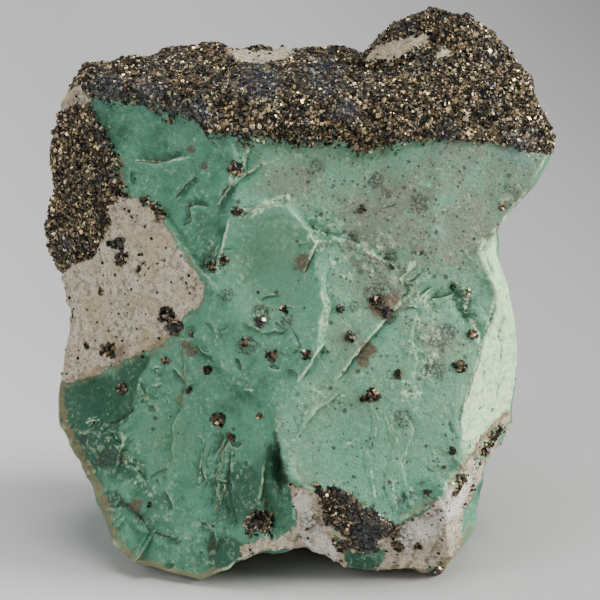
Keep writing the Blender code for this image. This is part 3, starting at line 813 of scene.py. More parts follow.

# %% Pale rims and flecks, some of them painted highlights
# The lit band, the shoulder and face top lights and the bright lines along ridges, rims and corner lines
# are painted highlights where light catches or comes through an edge; the veins, flecks and bottom matrix
# lines are pale in themselves.
PALE_LINES = {
    "lit band": ([(234, 217), (250, 212), (268, 205), (284, 196)], 8, 0.60),
    "scoop rim": ([(229, 220), (224, 240), (218, 262)], 1.5, 0.9),
    "basin ridge": ([(318, 240), (311, 254), (305, 272)], 1.3, 1.1),
    "notch ridge": ([(415, 262), (406, 278), (412, 290), (396, 308), (375, 332)], 2.0, 1.15),
    "notch ridge, top": ([(414, 263), (406, 280)], 5.0, 0.7),
    "shoulder light": ([(324, 268), (329, 290), (326, 312), (323, 338)], 3.5, 0.38),
    "face top light": ([(330, 262), (345, 262), (352, 290)], 8, 0.34),
    "corner line": ([(249, 148), (244, 166), (230, 187), (219, 205)], 1.2, 1.0),
    "corner line two": ([(244, 174), (258, 165), (273, 160)], 1.0, 0.75),
    "thin diagonal": ([(324, 344), (312, 360), (300, 381)], 1.1, 1.0),
    "right rim": ([(468, 290), (464, 311), (476, 329), (479, 344)], 2.0, 1.0),
    "face veins": ([(371, 402), (376, 430), (370, 462), (375, 496)], 1.0, 0.70),
    "face veins two": ([(384, 405), (397, 440), (390, 470), (396, 505)], 0.9, 0.52),
    "face veins three": ([(402, 398), (411, 430), (404, 462), (414, 498)], 0.9, 0.52),
    "face flecks": ([(420, 300), (432, 340), (426, 372), (410, 392)], 13, 0.46),
    "lower flecks": ([(205, 440), (200, 470), (206, 500)], 1.0, 0.5),
    "lower flecks two": ([(222, 452), (216, 480), (222, 512)], 1.0, 0.5),
    "rim flecks": ([(88, 424), (112, 445), (138, 474), (150, 490)], 10, 0.42),
    "upper left flecks": ([(134, 160), (165, 163), (190, 158)], 1.2, 0.7),
    "flank base": ([(482, 246), (488, 268), (497, 290), (485, 328), (477, 360), (462, 422)], 2.0, 0.85),
    "diagonal foot": ([(344, 396), (318, 413), (294, 440)], 1.8, 0.45),
    "bottom matrix, left": ([(300, 500), (312, 530), (328, 554)], 13, 0.9),
    "bottom matrix, right": ([(408, 536), (430, 526), (452, 502), (460, 482)], 15, 1.1),
}
pale = over_lines(PALE_LINES) * seen
print("pale on", round(float((pale > 0.4).mean()), 3), "of the points")

# %% Brown stains
STAINS = {
    "plate": (192, 150, 5), "corner": (205, 167, 4), "basin": (303, 262, 9), "face": (369, 350, 10),
    "face, low": (363, 362, 8), "plateau": (383, 190, 4), "rim": (137, 505, 8), "notch": (382, 308, 14),
    "shoulder": (192, 351, 7), "small": (169, 361, 4), "edge": (157, 161, 3), "matrix": (122, 352, 9),
    "crust": (275, 72, 7), "speckled": (392, 300, 9), "vein": (186, 345, 6),
}
stain = over_spots(STAINS) * seen
print("stained on", round(float((stain > 0.4).mean()), 3), "of the points")

# %% Dirt in spots, and painted shade in the folds and under the lip of the crust
DIRT_SPOTS = {
    "speckled band": (208, 266, 12), "band end": (222, 258, 8), "notch": (378, 296, 19),
    "cleft": (284, 468, 6), "notch foot": (390, 318, 12), "shoulder two": (248, 344, 13),
    "shoulder three": (288, 320, 10), "plateau one": (314, 168, 12), "plateau two": (376, 182, 10),
    "plateau three": (386, 194, 7), "face one": (352, 306, 9), "face two": (432, 372, 16),
    "face three": (440, 335, 18), "wing": (420, 205, 14), "seam top": (225, 295, 10),
    "face four": (402, 420, 14), "basin low": (190, 330, 8), "nub": (213, 550, 7), "scoop": (124, 388, 8),
    "plateau foot": (392, 258, 9), "shoulder": (262, 314, 14), "band": (352, 240, 9),
    "foot": (254, 520, 12), "seam": (120, 178, 6), "spall": (466, 300, 7), "rim": (104, 458, 14),
    "rim low": (112, 500, 12), "bottom": (340, 508, 20), "bottom right": (404, 538, 16),
    "bottom left": (312, 520, 14), "vein": (190, 388, 6),
}
# Painted shade along folds, cracks and the lower left rim, each a line with a width in pixels and a
# strength.
PAINTED_SHADE_LINES = {
    "foot fold": ([(122, 503), (137, 512), (151, 527), (178, 542)], 4.0, 0.9),
    "cleft": ([(275, 434), (279, 455), (287, 482)], 3.5, 1.0),
    "scoop foot": ([(92, 424), (114, 424), (132, 410)], 3.0, 0.6),
    "rim break": ([(70, 430), (100, 446), (122, 462)], 12, 0.5),
    "nub side": ([(212, 540), (212, 558)], 4.0, 0.9),
    "basin crack": ([(230, 452), (227, 490)], 1.5, 0.6),
    "tan vein": ([(188, 366), (184, 392), (178, 412)], 3.0, 0.5),
}
dark = over_lines(PAINTED_SHADE_LINES)
below_lip = -read(lip_map, across, down) / PIXELS_PER_MM
# Painted shade: a dark band just under the lip of the crust.
painted_shade_under_lip = 0.7 * smooth_step(1.0 - below_lip / 0.7) * smooth_step(1.0 + below_lip)
# Dirt in spots, with the painted shade of the folds and under the lip.
dirt_and_painted_shade = np.maximum(np.maximum(over_spots(DIRT_SPOTS), dark), painted_shade_under_lip) * seen
print("dirty on", round(float((dirt_and_painted_shade > 0.4).mean()), 3), "of the points")

# %% Blue-grey tarnish
BLUE_SPOTS = {
    "left of crust": (110, 92, 20, 0.9), "over the plate": (200, 114, 16, 0.9),
    "crust": (322, 78, 22, 0.8), "crust, low": (152, 98, 22, 0.75), "crust, middle": (262, 84, 26, 0.65),
    "crust, band": (180, 112, 16, 0.7), "lip": (338, 114, 10, 0.7), "mass edge": (116, 176, 9, 0.8),
    "mass foot": (64, 244, 12, 0.7), "under the lip": (520, 150, 22, 0.6),
    "under the lip, left": (440, 143, 14, 0.4), "streak": (345, 111, 12, 0.8),
    "matrix streak": (120, 313, 8, 0.6), "matrix cluster": (171, 320, 12, 0.6),
    "bottom mass": (368, 532, 26, 0.8), "bottom mass, top": (344, 506, 14, 0.5),
}
back_blue = smooth_step(1.0 - np.abs(back_crust + 1.0) / 2.0)
blue = over_spots(BLUE_SPOTS) * seen + hidden * back_blue * 0.6
print("tarnished on", round(float((blue > 0.4).mean()), 3), "of the points")

# %% [markdown]
# ## How green, how grey and how splintery
#
# Each broken face has its own green, because each cuts the stone in its own direction and shows more or
# less of its cloudy inside. Every face gets four numbers: how deep its green is, how many black specks it
# has, how splintery it is, and how grey. Near a seam the numbers of both faces mix. Spots then add to
# them where a face changes within itself, and the spots named face shade and face light are painted shade
# and painted light.

# %% Four numbers for each face
FACE_LOOKS = {
    "upper plateau": (0.18, 1.0, 0.10, 0.60), "plateau wing": (0.20, 0.95, 0.16, 0.75),
    "upper left face": (0.68, 0.25, 0.16, 0.0), "round basin": (0.22, 0.45, 0.08, 0.25),
    "right face": (0.16, 0.8, 0.14, 0.35), "ridge shoulder": (0.58, 0.35, 0.12, 0.1),
    "lower left basin": (0.62, 0.35, 0.14, 0.0), "cleft": (0.85, 0.1, 0.30, 0.0),
    "left scoop": (1.20, 0.1, 0.12, 0.0), "lower left rim": (0.85, 0.4, 0.95, 0.3),
    "left matrix": (0.60, 0.1, 0.30, 0.1), "left pyrite mass": (0.7, 0.1, 0.3, 0.1),
    "upper right flank": (-0.60, 0.4, 0.35, 0.0), "right flank": (-0.85, 0.5, 0.45, 0.0),
    "lower right vein": (0.60, 0.1, 0.30, 0.0), "bottom matrix": (0.60, 0.1, 0.40, 0.1),
}
LOOKS_SEAM_PX = 7.0
weight = np.full(len(surface), 1e-6)
looks = np.zeros((len(surface), 4))
for name, look in FACE_LOOKS.items():
    outside = np.maximum(0.0, -read(face_maps[name], across, down))
    pull = (outside**2 + LOOKS_SEAM_PX**2) ** SEAM_POWER
    weight += pull
    looks += pull[:, None] * np.array(look)
looks /= weight[:, None]
deep, speck, hackle, grey = looks.T
print("green depth of the faces from", round(float(deep.min()), 2), "to", round(float(deep.max()), 2))

# %% Spots that are greyer, deeper or paler
GREY_SPOTS = {
    "plateau right": (395, 225, 48, 0.7), "wing": (476, 200, 66, 0.7), "wing edge": (440, 240, 30, 0.5),
    "face top": (385, 290, 30, 0.7), "face": (350, 350, 22, 0.5), "face low": (425, 345, 30, 0.5),
    "basin": (300, 262, 12, 0.6), "plateau left": (300, 185, 22, 0.5), "band": (365, 250, 24, 0.6),
}
# The face shade spot is painted shade and the face light spot is painted light.
DEEP_SPOTS = {
    "emerald scoop": (212, 232, 20, 0.12), "scoop foot": (205, 262, 16, 0.2),
    "basin middle": (255, 275, 26, -0.1), "shoulder left": (225, 345, 30, 0.2),
    "shoulder low": (250, 388, 26, 0.12), "basin pale": (172, 440, 34, -0.40),
    "foot nub": (225, 556, 22, 0.5), "under matrix": (365, 564, 22, 0.5),
    "face foot, right": (424, 500, 26, 0.50), "face foot, left": (386, 508, 24, 0.45),
    "face foot, low": (345, 475, 30, 0.20), "left corner": (115, 130, 20, 0.15),
    "rim dark": (90, 442, 26, 0.40), "rim dark, low": (122, 474, 14, 0.25), "nub": (228, 552, 13, 0.5),
    "face top": (335, 300, 30, -0.12), "face foot": (400, 470, 50, 0.1),
    "plateau left": (250, 165, 20, 0.15), "wedge": (500, 430, 10, 0.8), "teal side": (474, 490, 18, 0.2),
    "cleft side": (265, 470, 22, 0.25), "basin dark": (238, 500, 30, 0.50),
    "basin left": (224, 290, 22, 0.35), "basin top": (282, 236, 24, -0.16),
    "low one": (196, 470, 20, 0.18), "low two": (150, 490, 18, 0.15), "face shade": (360, 430, 26, 0.12),
    "face light": (330, 400, 26, -0.12), "face edge": (440, 420, 26, 0.15),
    "face right": (440, 330, 30, -0.08),
}


def with_spots(values, spots):
    """The values with an amount added in each spot."""
    for middle_x, middle_y, radius, amount in spots.values():
        spread = np.hypot(across - middle_x, down - middle_y) / radius
        values = values + amount * smooth_step(1.4 - spread)
    return values


grey = with_spots(grey, GREY_SPOTS)
# The painted shade of the folds and cracks also deepens the green there.
deep = with_spots(deep, DEEP_SPOTS) + 0.5 * dark
back_deep = 0.5 + lumps(surface, 12.0, 0.5, noise.noise, 40.0)
deep = deep * seen + back_deep * hidden
print("green depth from", round(float(deep.min()), 2), "to", round(float(deep.max()), 2))

# %% Specks and splinters
HIDDEN_SPECK = 0.4
speck = speck * seen + HIDDEN_SPECK * hidden
back_hackle = smooth_step(0.2 + lumps(surface, 9.0, 1.0, noise.noise, 52.0))
hackle = np.maximum(hackle, over_spots(HACKLE_SPOTS)) * seen + back_hackle * hidden
print("splintery on", round(float((hackle > 0.5).mean()), 2), "of the points")

# %% [markdown]
# ## Lumps and grain
#
# The roughness is added in layers, each with its own size: broad swells, chips, the coarse knobs of the
# crust, the sandy grain of the matrix, and the splintery hackle where the green stone broke badly. Each
# layer is a noise in space, so no pattern repeats or stretches on the sides.

# %% Three kinds of broken rough
def sharp_lump(place):
    """A rough of flat-sided chips, from the distance to the nearest of many scattered points."""
    return 0.7 - noise.voronoi(place)[0][0]


# Without a seed, noise_vector differs from run to run.
NOISE_SEED = 1
noise.seed_set(NOISE_SEED)


def chip_lump(place):
    """Tilted flats with a step between them, each scattered point's own flat tilted its own way."""
    nearest = noise.voronoi(place)[1][0]
    return (place - nearest).dot(noise.noise_vector(nearest * 5.3))


def ridged_lump(place):
    """Splinters: a noise folded over, so that it has crests."""
    return 1.0 - 2.0 * abs(noise.noise(place))


sample = Vector((0.3, 0.2, 0.1))
heights = [round(kind(sample), 2) for kind in (sharp_lump, chip_lump, ridged_lump)]
print("their heights at one place:", heights)

# %% The rough of the crust, of the matrix and of the green
crust_rough = lumps(surface, 4.2, 1.1, noise.noise, 3.1) + lumps(surface, 1.7, 0.65, sharp_lump, 7.7)
crust_rough += lumps(surface, 0.8, 0.22, sharp_lump, 8.8)
swell = lumps(surface, 9.0, 0.7, noise.noise, 1.3) + lumps(surface, 3.0, 0.28, noise.noise, 5.9)
matrix_rough = lumps(surface, 1.6, 0.50, chip_lump, 10.5) + lumps(surface, 1.1, 0.32, sharp_lump, 11.0)
matrix_rough += lumps(surface, 0.6, 0.22, noise.noise, 12.0)
matrix_rough += lumps(surface, 3.0, 0.45, noise.noise, 13.0)
splinters = lumps(surface, 1.9, 0.45, chip_lump, 17.0) + lumps(surface, 0.9, 0.25, chip_lump, 18.0)
splinters += lumps(surface, 1.5, 0.12, ridged_lump, 18.5)
faint = lumps(surface, 1.6, 0.03, noise.noise, 19.0) + lumps(surface, 4.2, 0.16, chip_lump, 19.5)
print("crust from", round(float(crust_rough.min()), 2), "to", round(float(crust_rough.max()), 2), "mm")

# %% Raise the relief
FLAT_FOOT = 1.5
on_pyrite = smooth_step(0.5 + pyrite / 0.6)
on_matrix = smooth_step(0.5 + matrix / 0.6) * (1.0 - on_pyrite)
on_green = 1.0 - np.maximum(on_pyrite, on_matrix)
rise = on_pyrite * crust_rough + (1.0 - on_pyrite) * swell * (0.4 + 1.6 * hidden)
rise += on_matrix * matrix_rough + on_green * (faint + hackle * (splinters - 0.12))
near_floor = smooth_step(1.0 - surface[:, 2] / FLAT_FOOT)
surface = surface + directions * (rise * (1.0 - near_floor))[:, None]
surface[:, 2] = np.maximum(0.0, surface[:, 2])
for vertex, place in zip(stone.verts, (surface - BOX_MIDDLE) * MM):
    vertex.co = place
bmesh.ops.recalc_face_normals(stone, faces=stone.faces)
print("relief from", round(float(rise.min()), 2), "to", round(float(rise.max()), 2), "mm")

# %% [markdown]
# ## Edges and hollows
#
# Thin edges of variscite are worn pale, and painted pale as light coming through them, and hollows are
# made darker. Both can be read off the shape: a point that stands out from the mean of its neighbours is on
# an edge, and one that lies behind it is in a hollow. The measure goes to the material as one more value at
# each point.

# %% Measure how far each point stands out
ends = np.array([(edge.verts[0].index, edge.verts[1].index) for edge in stone.edges])
places = places_of(stone)
normals = np.array([vertex.normal for vertex in stone.verts])


def mean_of_neighbours(values):
    total = np.zeros_like(values)
    count = np.zeros(len(values))
    for near, far in ((0, 1), (1, 0)):
        np.add.at(total, ends[:, near], values[ends[:, far]])
        np.add.at(count, ends[:, near], 1.0)
    return total / (count[:, None] if values.ndim == 2 else count)


lengths = np.linalg.norm(places[ends[:, 0]] - places[ends[:, 1]], axis=1)
edge_length = np.zeros(len(places))
np.add.at(edge_length, ends[:, 0], lengths)
np.add.at(edge_length, ends[:, 1], lengths)
edge_length /= np.bincount(ends.ravel(), minlength=len(places))
standing = np.einsum("ij,ij->i", places - mean_of_neighbours(places), normals) / edge_length
standing = 0.5 * standing + 0.5 * mean_of_neighbours(standing)
print("standing out from", round(float(standing.min()), 2), "to", round(float(standing.max()), 2))

# %% [markdown]
# ## The stone as one piece
#
# The bmesh becomes one mesh object. It takes the place of the packed solid, rides on the same body, and
# carries every measure that its material reads as a value at its points. Shading is smooth across flat
# stretches and breaks at edges sharper than fifty degrees, as at the ledges.

# %% Make the piece
SHARP_ANGLE_DEG = 50
RIM_KEPT_PX = 9


def make_piece(name, shape):
    mesh = bpy.data.meshes.new(name)
    shape.to_mesh(mesh)
    piece = bpy.data.objects.new(name, mesh)
    bpy.context.collection.objects.link(piece)
    return piece


def keep_values(mesh, values):
    for name, numbers in values.items():
        mesh.attributes.new(name, "FLOAT", "POINT").data.foreach_set("value", numbers.astype(np.float32))


stone_piece = make_piece("variscite_stone", stone)
keep_values(stone_piece.data, {
    "pyrite": pyrite, "matrix": matrix, "tan": tan, "stain": stain, "blue": blue, "deep": deep,
    "speck": speck, "hackle": hackle, "standing": standing, "grey": grey, "dirt_and_painted_shade": dirt_and_painted_shade, "pale": pale,
    "rim_side": np.clip(read(rim_side, across, down), -RIM_KEPT_PX, RIM_KEPT_PX) / PIXELS_PER_MM,
    "rim_light_and_shade": read(rim_light_and_shade, across, down) * seen, "rim_step": read(rim_step, across, down) * seen,
})
stone_piece.data.shade_smooth()
stone_piece.data.set_sharp_from_angle(angle=math.radians(SHARP_ANGLE_DEG))
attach(stone_piece, "root")
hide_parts("variscite_specimen")
print("variscite_stone:", len(stone_piece.data.polygons), "triangles")

# %% [markdown]
# ## Writing materials as sums
#
# A material that mixes stone, pyrite, chalk and dirt takes many nodes. They read better as arithmetic. A
# Wire holds one socket, and sums with it add Math nodes. Every other kind of node comes from Maker.node.

# %% A wire, which holds one number on its way
class Wire:
    """A number on its way through a material. A sum with it adds a Math node."""

    def __init__(self, maker, socket):
        self.maker = maker
        self.socket = socket

    def __add__(self, other):
        return self.maker.math("ADD", self, other)

    def __radd__(self, other):
        return self.maker.math("ADD", other, self)

    def __sub__(self, other):
        return self.maker.math("SUBTRACT", self, other)

    def __rsub__(self, other):
        return self.maker.math("SUBTRACT", other, self)

    def __mul__(self, other):
        return self.maker.math("MULTIPLY", self, other)

    def __rmul__(self, other):
        return self.maker.math("MULTIPLY", other, self)


sums = [name.strip("_") for name in vars(Wire) if name.endswith(("add__", "sub__", "mul__"))]
print("sums that a wire takes part in:", ", ".join(sums))

# %% The maker of one material's nodes
class Maker:
    """Makes the nodes of one material."""

    def __init__(self, name):
        self.material = bpy.data.materials.new(name)
        self.material.use_nodes = True
        self.tree = self.material.node_tree
        self.shader = self.tree.nodes["Principled BSDF"]
        self.place = Wire(self, self.tree.nodes.new("ShaderNodeTexCoord").outputs["Object"])

    def node(self, kind, settings=None, inputs=None, output=0):
        node = self.tree.nodes.new(kind)
        for name, value in (settings or {}).items():
            setattr(node, name, value)
        self.feed(node, inputs or {})
        return Wire(self, node.outputs[output])

    def feed(self, node, inputs):
        for name, value in inputs.items():
            if isinstance(value, Wire):
                self.tree.links.new(value.socket, node.inputs[name])
            else:
                node.inputs[name].default_value = value

    def math(self, operation, first, second):
        return self.node("ShaderNodeMath", {"operation": operation}, {0: first, 1: second})

    def ramp(self, value, low, high):
        """0 below low, 1 above high, and a smooth rise between them. High may be the lower one."""
        return self.node(
            "ShaderNodeMapRange", {"interpolation_type": "SMOOTHSTEP"},
            {"Value": value, "From Min": low, "From Max": high},
        )

    def mix(self, share, first, second):
        """A colour between two."""
        return self.node("ShaderNodeMix", {"data_type": "RGBA"}, {0: share, 6: first, 7: second}, output=2)

    def kept(self, name):
        """A value that the mesh keeps at its points."""
        return self.node("ShaderNodeAttribute", {"attribute_name": name}, output="Fac")

    def cloud(self, size, detail=3.0, rough=0.55):
        """A noise from 0 to 1 with features of a size in millimetres."""
        return self.node(
            "ShaderNodeTexNoise", {},
            {"Vector": self.place, "Scale": 1000.0 / size, "Detail": detail, "Roughness": rough},
        )

    def facets(self, size):
        """Heights of tilted flats of a size in millimetres, each with its own tilt."""
        scaled = self.node(
            "ShaderNodeVectorMath", {"operation": "SCALE"}, {"Vector": self.place, "Scale": 1000.0 / size}
        )
        middle = self.node("ShaderNodeTexVoronoi", {}, {"Vector": scaled, "Scale": 1.0}, output="Position")
        tilt = Wire(self, middle.socket.node.outputs["Color"])
        away = self.node("ShaderNodeVectorMath", {"operation": "SUBTRACT"}, {0: scaled, 1: middle})
        tilt = self.node(
            "ShaderNodeVectorMath", {"operation": "SUBTRACT"}, {0: tilt, 1: (0.5, 0.5, 0.5)}
        )
        return self.node("ShaderNodeVectorMath", {"operation": "DOT_PRODUCT"}, {0: away, 1: tilt}, "Value")

    def cells(self, size, output="Distance"):
        """Scattered cells of a size in millimetres: the distance to the middle of each, or its colour."""
        return self.node(
            "ShaderNodeTexVoronoi", {}, {"Vector": self.place, "Scale": 1000.0 / size}, output=output
        )


# %% Colours as they look on a screen
def colour(red, green, blue):
    """A colour from 0 to 255 as it looks on a screen, made linear for a material."""
    return tuple(((value / 255 + 0.055) / 1.055) ** 2.4 for value in (red, green, blue)) + (1.0,)


print("middle grey is", round(colour(128, 128, 128)[0], 3), "in linear light")

# %% [markdown]
# ## The stone's own material
#
# One material covers the stone, as one skin covers the real thing. The green goes from pale to deep as the
# faces do, with milky clouds, black specks of pyrite dust, pale rims painted on its flakes as light through
# thin stone, and painted shade in its cracks. Matrix, tan rind and the dark ground of the pyrite are laid
# over it where the points say so.

# %% The stone's colours
CREAM_GREEN = colour(208, 246, 192)
PALE_GREEN = colour(90, 141, 112)
PALE_GREY = colour(97, 106, 86)
MIDDLE_GREEN = colour(80, 142, 114)
DEEP_GREEN = colour(25, 80, 57)
RIM_GREEN = colour(196, 226, 184)
TEAL = colour(50, 92, 94)
CHALK_PALE = colour(236, 226, 206)
CHALK_WHITE = colour(252, 248, 240)
CHALK_DULL = colour(148, 135, 112)
CHALK_WARM = colour(196, 178, 142)
TAN = colour(134, 114, 76)
BROWN = colour(88, 66, 42)
PYRITE_DARK = colour(32, 31, 29)
PYRITE_PALE = colour(110, 100, 78)
PYRITE_GLINT = colour(206, 196, 166)
BLUE_GREY = colour(78, 84, 91)
# One near-black for specks of pyrite dust, dirt and dark specks, and for painted shade in cracks, folds and
# under the crust lip.
DARK_DIRT_AND_SHADE = colour(36, 34, 28)
print("deep green is", [round(value, 3) for value in DEEP_GREEN[:3]], "in linear light")

# %% Where pyrite and matrix begin
stone_look = Maker("variscite")
m = stone_look
edge_noise = m.cloud(0.9, 4.0, 0.65) - 0.5
fine_noise = m.cloud(0.3, 2.0, 0.6) - 0.5
pyrite_on = m.ramp(m.kept("pyrite") + edge_noise * 1.6 + fine_noise * 0.6, -0.06, 0.06)
matrix_on = m.ramp(m.kept("matrix") + edge_noise * 1.8 + fine_noise * 0.5, -0.12, 0.12)
standing_out = m.kept("standing")
print("nodes so far:", len(m.tree.nodes))

# %% The green, from cream to emerald
clouds = (m.cloud(6.0, 3.0) - 0.5) * 0.9 + (m.cloud(1.6, 4.0) - 0.5) * 0.7 + fine_noise * 0.4
side = m.kept("rim_side") + edge_noise * 0.34
painted_rim = m.kept("rim_light_and_shade")
shine = m.ramp(painted_rim, 0.1, 0.8)
# Painted shade deepens the green on the scar side of a pale rim, and painted light pales its lifted side.
scar = m.ramp(side, -0.02, 0.04) * m.ramp(side, 1.3, 0.05) * shine
painted_lift_light = m.ramp(side, 0.0, -0.03) * m.ramp(side, -0.8, -0.05) * shine
depth_of_green = m.kept("deep") + clouds + scar * 0.42 - painted_lift_light * 0.30
green_grey = m.ramp(m.kept("grey") + (m.cloud(4.0, 3.0) - 0.5) * 1.2, 0.2, 1.2)
green = m.mix(green_grey, PALE_GREEN, PALE_GREY)
green = m.mix(m.ramp(depth_of_green, 0.02, -0.70), green, CREAM_GREEN)
green = m.mix(m.ramp(depth_of_green, 0.05, 0.60), green, MIDDLE_GREEN)
green = m.mix(m.ramp(depth_of_green, 0.50, 1.10), green, DEEP_GREEN)
green = m.mix(m.kept("blue") * m.ramp(m.cloud(2.0), 0.3, 0.6), green, TEAL)
print("nodes so far:", len(m.tree.nodes))

# %% [markdown]
# ## Flake rims, cracks and mottle
#
# A flake's rim is thin, so it is painted pale as light coming through it, and the crack below it is painted
# dark as shade. Both are found from the distance to the nearest flake edge. Where the shape itself stands
# out it is worn pale and painted pale as light through a thin edge, and where it lies back it is made
# deeper.
# A fine mottle breaks up every even stretch of green.

# %% Painted rim light and painted crack shade
broken = m.ramp(m.cloud(0.9, 4.0, 0.7), 0.38, 0.58)
rim = m.ramp(side - broken * 0.08, -0.21, -0.09) * m.ramp(side, 0.05, -0.01) * (0.15 + broken * 0.85)
crack = m.ramp(side, -0.06, 0.02) * m.ramp(side, 0.22, 0.05)
# A pale rim painted as light through thin stone, and painted shade in the crack below a dark rim.
green = m.mix(rim * shine * 0.9, green, RIM_GREEN)
green = m.mix(crack * m.ramp(painted_rim, 0.0, -0.9) * 0.9, green, DARK_DIRT_AND_SHADE)
torn = (m.cloud(0.45, 4.0, 0.75) - 0.5) * 2.0 + (m.cloud(1.8, 2.0) - 0.5) * 1.6
flecks_and_painted_highlights = m.ramp(m.kept("pale") + torn, 0.42, 0.80)
green = m.mix(flecks_and_painted_highlights * 0.75, green, RIM_GREEN)
print("nodes so far:", len(m.tree.nodes))

# %% Worn and painted pale edges, darker hollows, mottle and the streaks of the bright flank
worn = m.ramp(m.cloud(2.2, 3.0), 0.42, 0.62)
# Edges that stand out are worn pale and painted pale as light through thin stone; points that lie back are
# made deeper green.
green = m.mix(m.ramp(standing_out, 0.05, 0.16) * worn * 0.8, green, RIM_GREEN)
green = m.mix(m.ramp(standing_out, -0.03, -0.20) * 0.5, green, DEEP_GREEN)
mottle = m.cloud(0.5, 4.0, 0.75)
patchy = m.ramp(m.cloud(3.5, 3.0), 0.38, 0.62)
green = m.mix(m.ramp(mottle, 0.54, 0.68) * patchy * 0.50, green, RIM_GREEN)
green = m.mix(m.ramp(mottle, 0.48, 0.32) * 0.50, green, DEEP_GREEN)
flank = m.ramp(m.kept("deep"), -0.10, -0.45)
streaks = m.cloud(1.3, 5.0, 0.75)
green = m.mix(flank * m.ramp(streaks, 0.50, 0.60) * 0.35, green, PALE_GREEN)
green = m.mix(flank * m.ramp(streaks, 0.44, 0.34) * 0.25, green, CHALK_WARM)
print("nodes so far:", len(m.tree.nodes))

# %% [markdown]
# ## Specks, hackle, dirt, painted shade and stain on the green
#
# Pyrite dust is scattered through the green as black specks of two sizes. A cell pattern gives each speck
# its own place and its own chance to show. Splintery stretches get light and dark flecks, and dirt with
# painted shade, iron stain and tan lie over them where the points say so, with grit that keeps their
# borders ragged.

# %% Specks of pyrite dust
speck_here = m.kept("speck")
ragged_speck = fine_noise * 0.25
small_specks = m.ramp(m.cells(0.7) + ragged_speck, 0.27, 0.17)
small_specks = small_specks * m.ramp(m.cells(0.7, "Color") * speck_here, 0.40, 0.46)
large_specks = m.ramp(m.cells(1.9) + ragged_speck, 0.17, 0.11)
large_specks = large_specks * m.ramp(m.cells(1.9, "Color") * speck_here, 0.26, 0.3)
dust = m.ramp(m.cloud(0.24, 2.0, 0.7), 0.58, 0.68) * m.ramp(m.cloud(2.6, 3.0), 0.40, 0.58) * speck_here
green = m.mix((small_specks + large_specks + dust * 0.7) * 0.8, green, DARK_DIRT_AND_SHADE)
print("nodes so far:", len(m.tree.nodes))

# %% Hackle, dirt with painted shade, stain and tan
splintery = m.kept("hackle")
flecks = m.cells(0.55, "Color")
light_flecks = splintery * m.ramp(flecks, 0.66, 0.76) * m.ramp(m.cloud(1.4), 0.4, 0.6)
green = m.mix(light_flecks * 0.35, green, RIM_GREEN)
green = m.mix(splintery * m.ramp(flecks, 0.30, 0.20) * 0.5, green, DEEP_GREEN)
grit = m.ramp(m.cloud(0.32, 4.0, 0.75), 0.42, 0.54)
# Dirt spots, with the painted shade of folds, cracks and the band under the crust lip.
dirty_and_shaded = m.kept("dirt_and_painted_shade") + edge_noise * 1.2 + (m.cloud(2.0, 2.0) - 0.5) * 1.8
green = m.mix(m.ramp(dirty_and_shaded, 0.30, 0.85) * grit * 0.85, green, DARK_DIRT_AND_SHADE)
green = m.mix(m.ramp(m.kept("stain") + edge_noise * 1.8, 0.20, 0.80) * (0.50 + grit * 0.5), green, BROWN)
tan_on = m.ramp(m.kept("tan") + edge_noise * 1.8 + fine_noise * 0.6, 0.42, 0.85)
green = m.mix(tan_on * 0.65, green, TAN)
print("nodes so far:", len(m.tree.nodes))

# %% [markdown]
# ## Matrix, and the ground under the crystals
#
# The matrix is chalky: dull and pale grains mixed at a fine scale, warmer in patches, with scattered dark
# specks, dirt with painted shade, and browner hollows. The ground between the pyrite crystals is the same
# dark metal in finer grains, with painted glints on some of them, so the crust has no holes where the
# crystals part. Both are laid over the green, the matrix first, along their ragged borders.

# %% The chalky matrix
chalk = m.mix(m.ramp(m.cloud(0.7, 5.0, 0.75), 0.36, 0.64), CHALK_DULL, CHALK_PALE)
chalk = m.mix(m.ramp(m.cloud(3.2, 4.0), 0.45, 0.65) * 0.7, chalk, CHALK_WARM)
chalk = m.mix(flecks_and_painted_highlights * 0.7, chalk, CHALK_WHITE)
chalk = m.mix(tan_on * 0.65, chalk, TAN)
chalk = m.mix(m.ramp(m.cloud(0.7, 3.0, 0.7), 0.58, 0.68) * 0.6, chalk, BROWN)
chalk = m.mix(m.ramp(m.cells(0.6), 0.18, 0.08) * m.ramp(m.cells(0.6, "Color"), 0.86, 0.90), chalk, DARK_DIRT_AND_SHADE)
# Dirt, with painted shade from folds and under the crust lip.
chalk = m.mix(m.kept("dirt_and_painted_shade") * m.ramp(m.cloud(0.5, 4.0, 0.7), 0.42, 0.56) * 0.8, chalk, DARK_DIRT_AND_SHADE)
chalk = m.mix(m.kept("stain") * 0.7, chalk, BROWN)
# Points that lie back from their neighbours are made browner.
chalk = m.mix(m.ramp(standing_out, -0.05, -0.25) * 0.6, chalk, BROWN)
print("nodes so far:", len(m.tree.nodes))

# %% The ground of the pyrite, and all three together
ground = m.mix(m.ramp(m.cells(0.27, "Color"), 0.30, 0.80), PYRITE_DARK, PYRITE_PALE)
# Painted glints on some grains of the ground.
ground = m.mix(m.ramp(m.cells(0.24, "Color"), 0.72, 0.80) * 0.8, ground, PYRITE_GLINT)
ground = m.mix(m.kept("blue") * 0.8, ground, BLUE_GREY)
ground = m.mix(m.kept("stain") * 0.5, ground, BROWN)
base = m.mix(matrix_on, green, chalk)
pyrite_bare = pyrite_on * (1 - matrix_on)
base = m.mix(pyrite_bare, base, ground)
print("nodes so far:", len(m.tree.nodes))

# %% [markdown]
# ## Fine bumps and gloss
#
# What is too small for the mesh is a bump: tilted facets on the green, pocks, the grain of the matrix and
# the grains of the pyrite ground. The green is waxy, so its roughness is middling, and the matrix is matt.

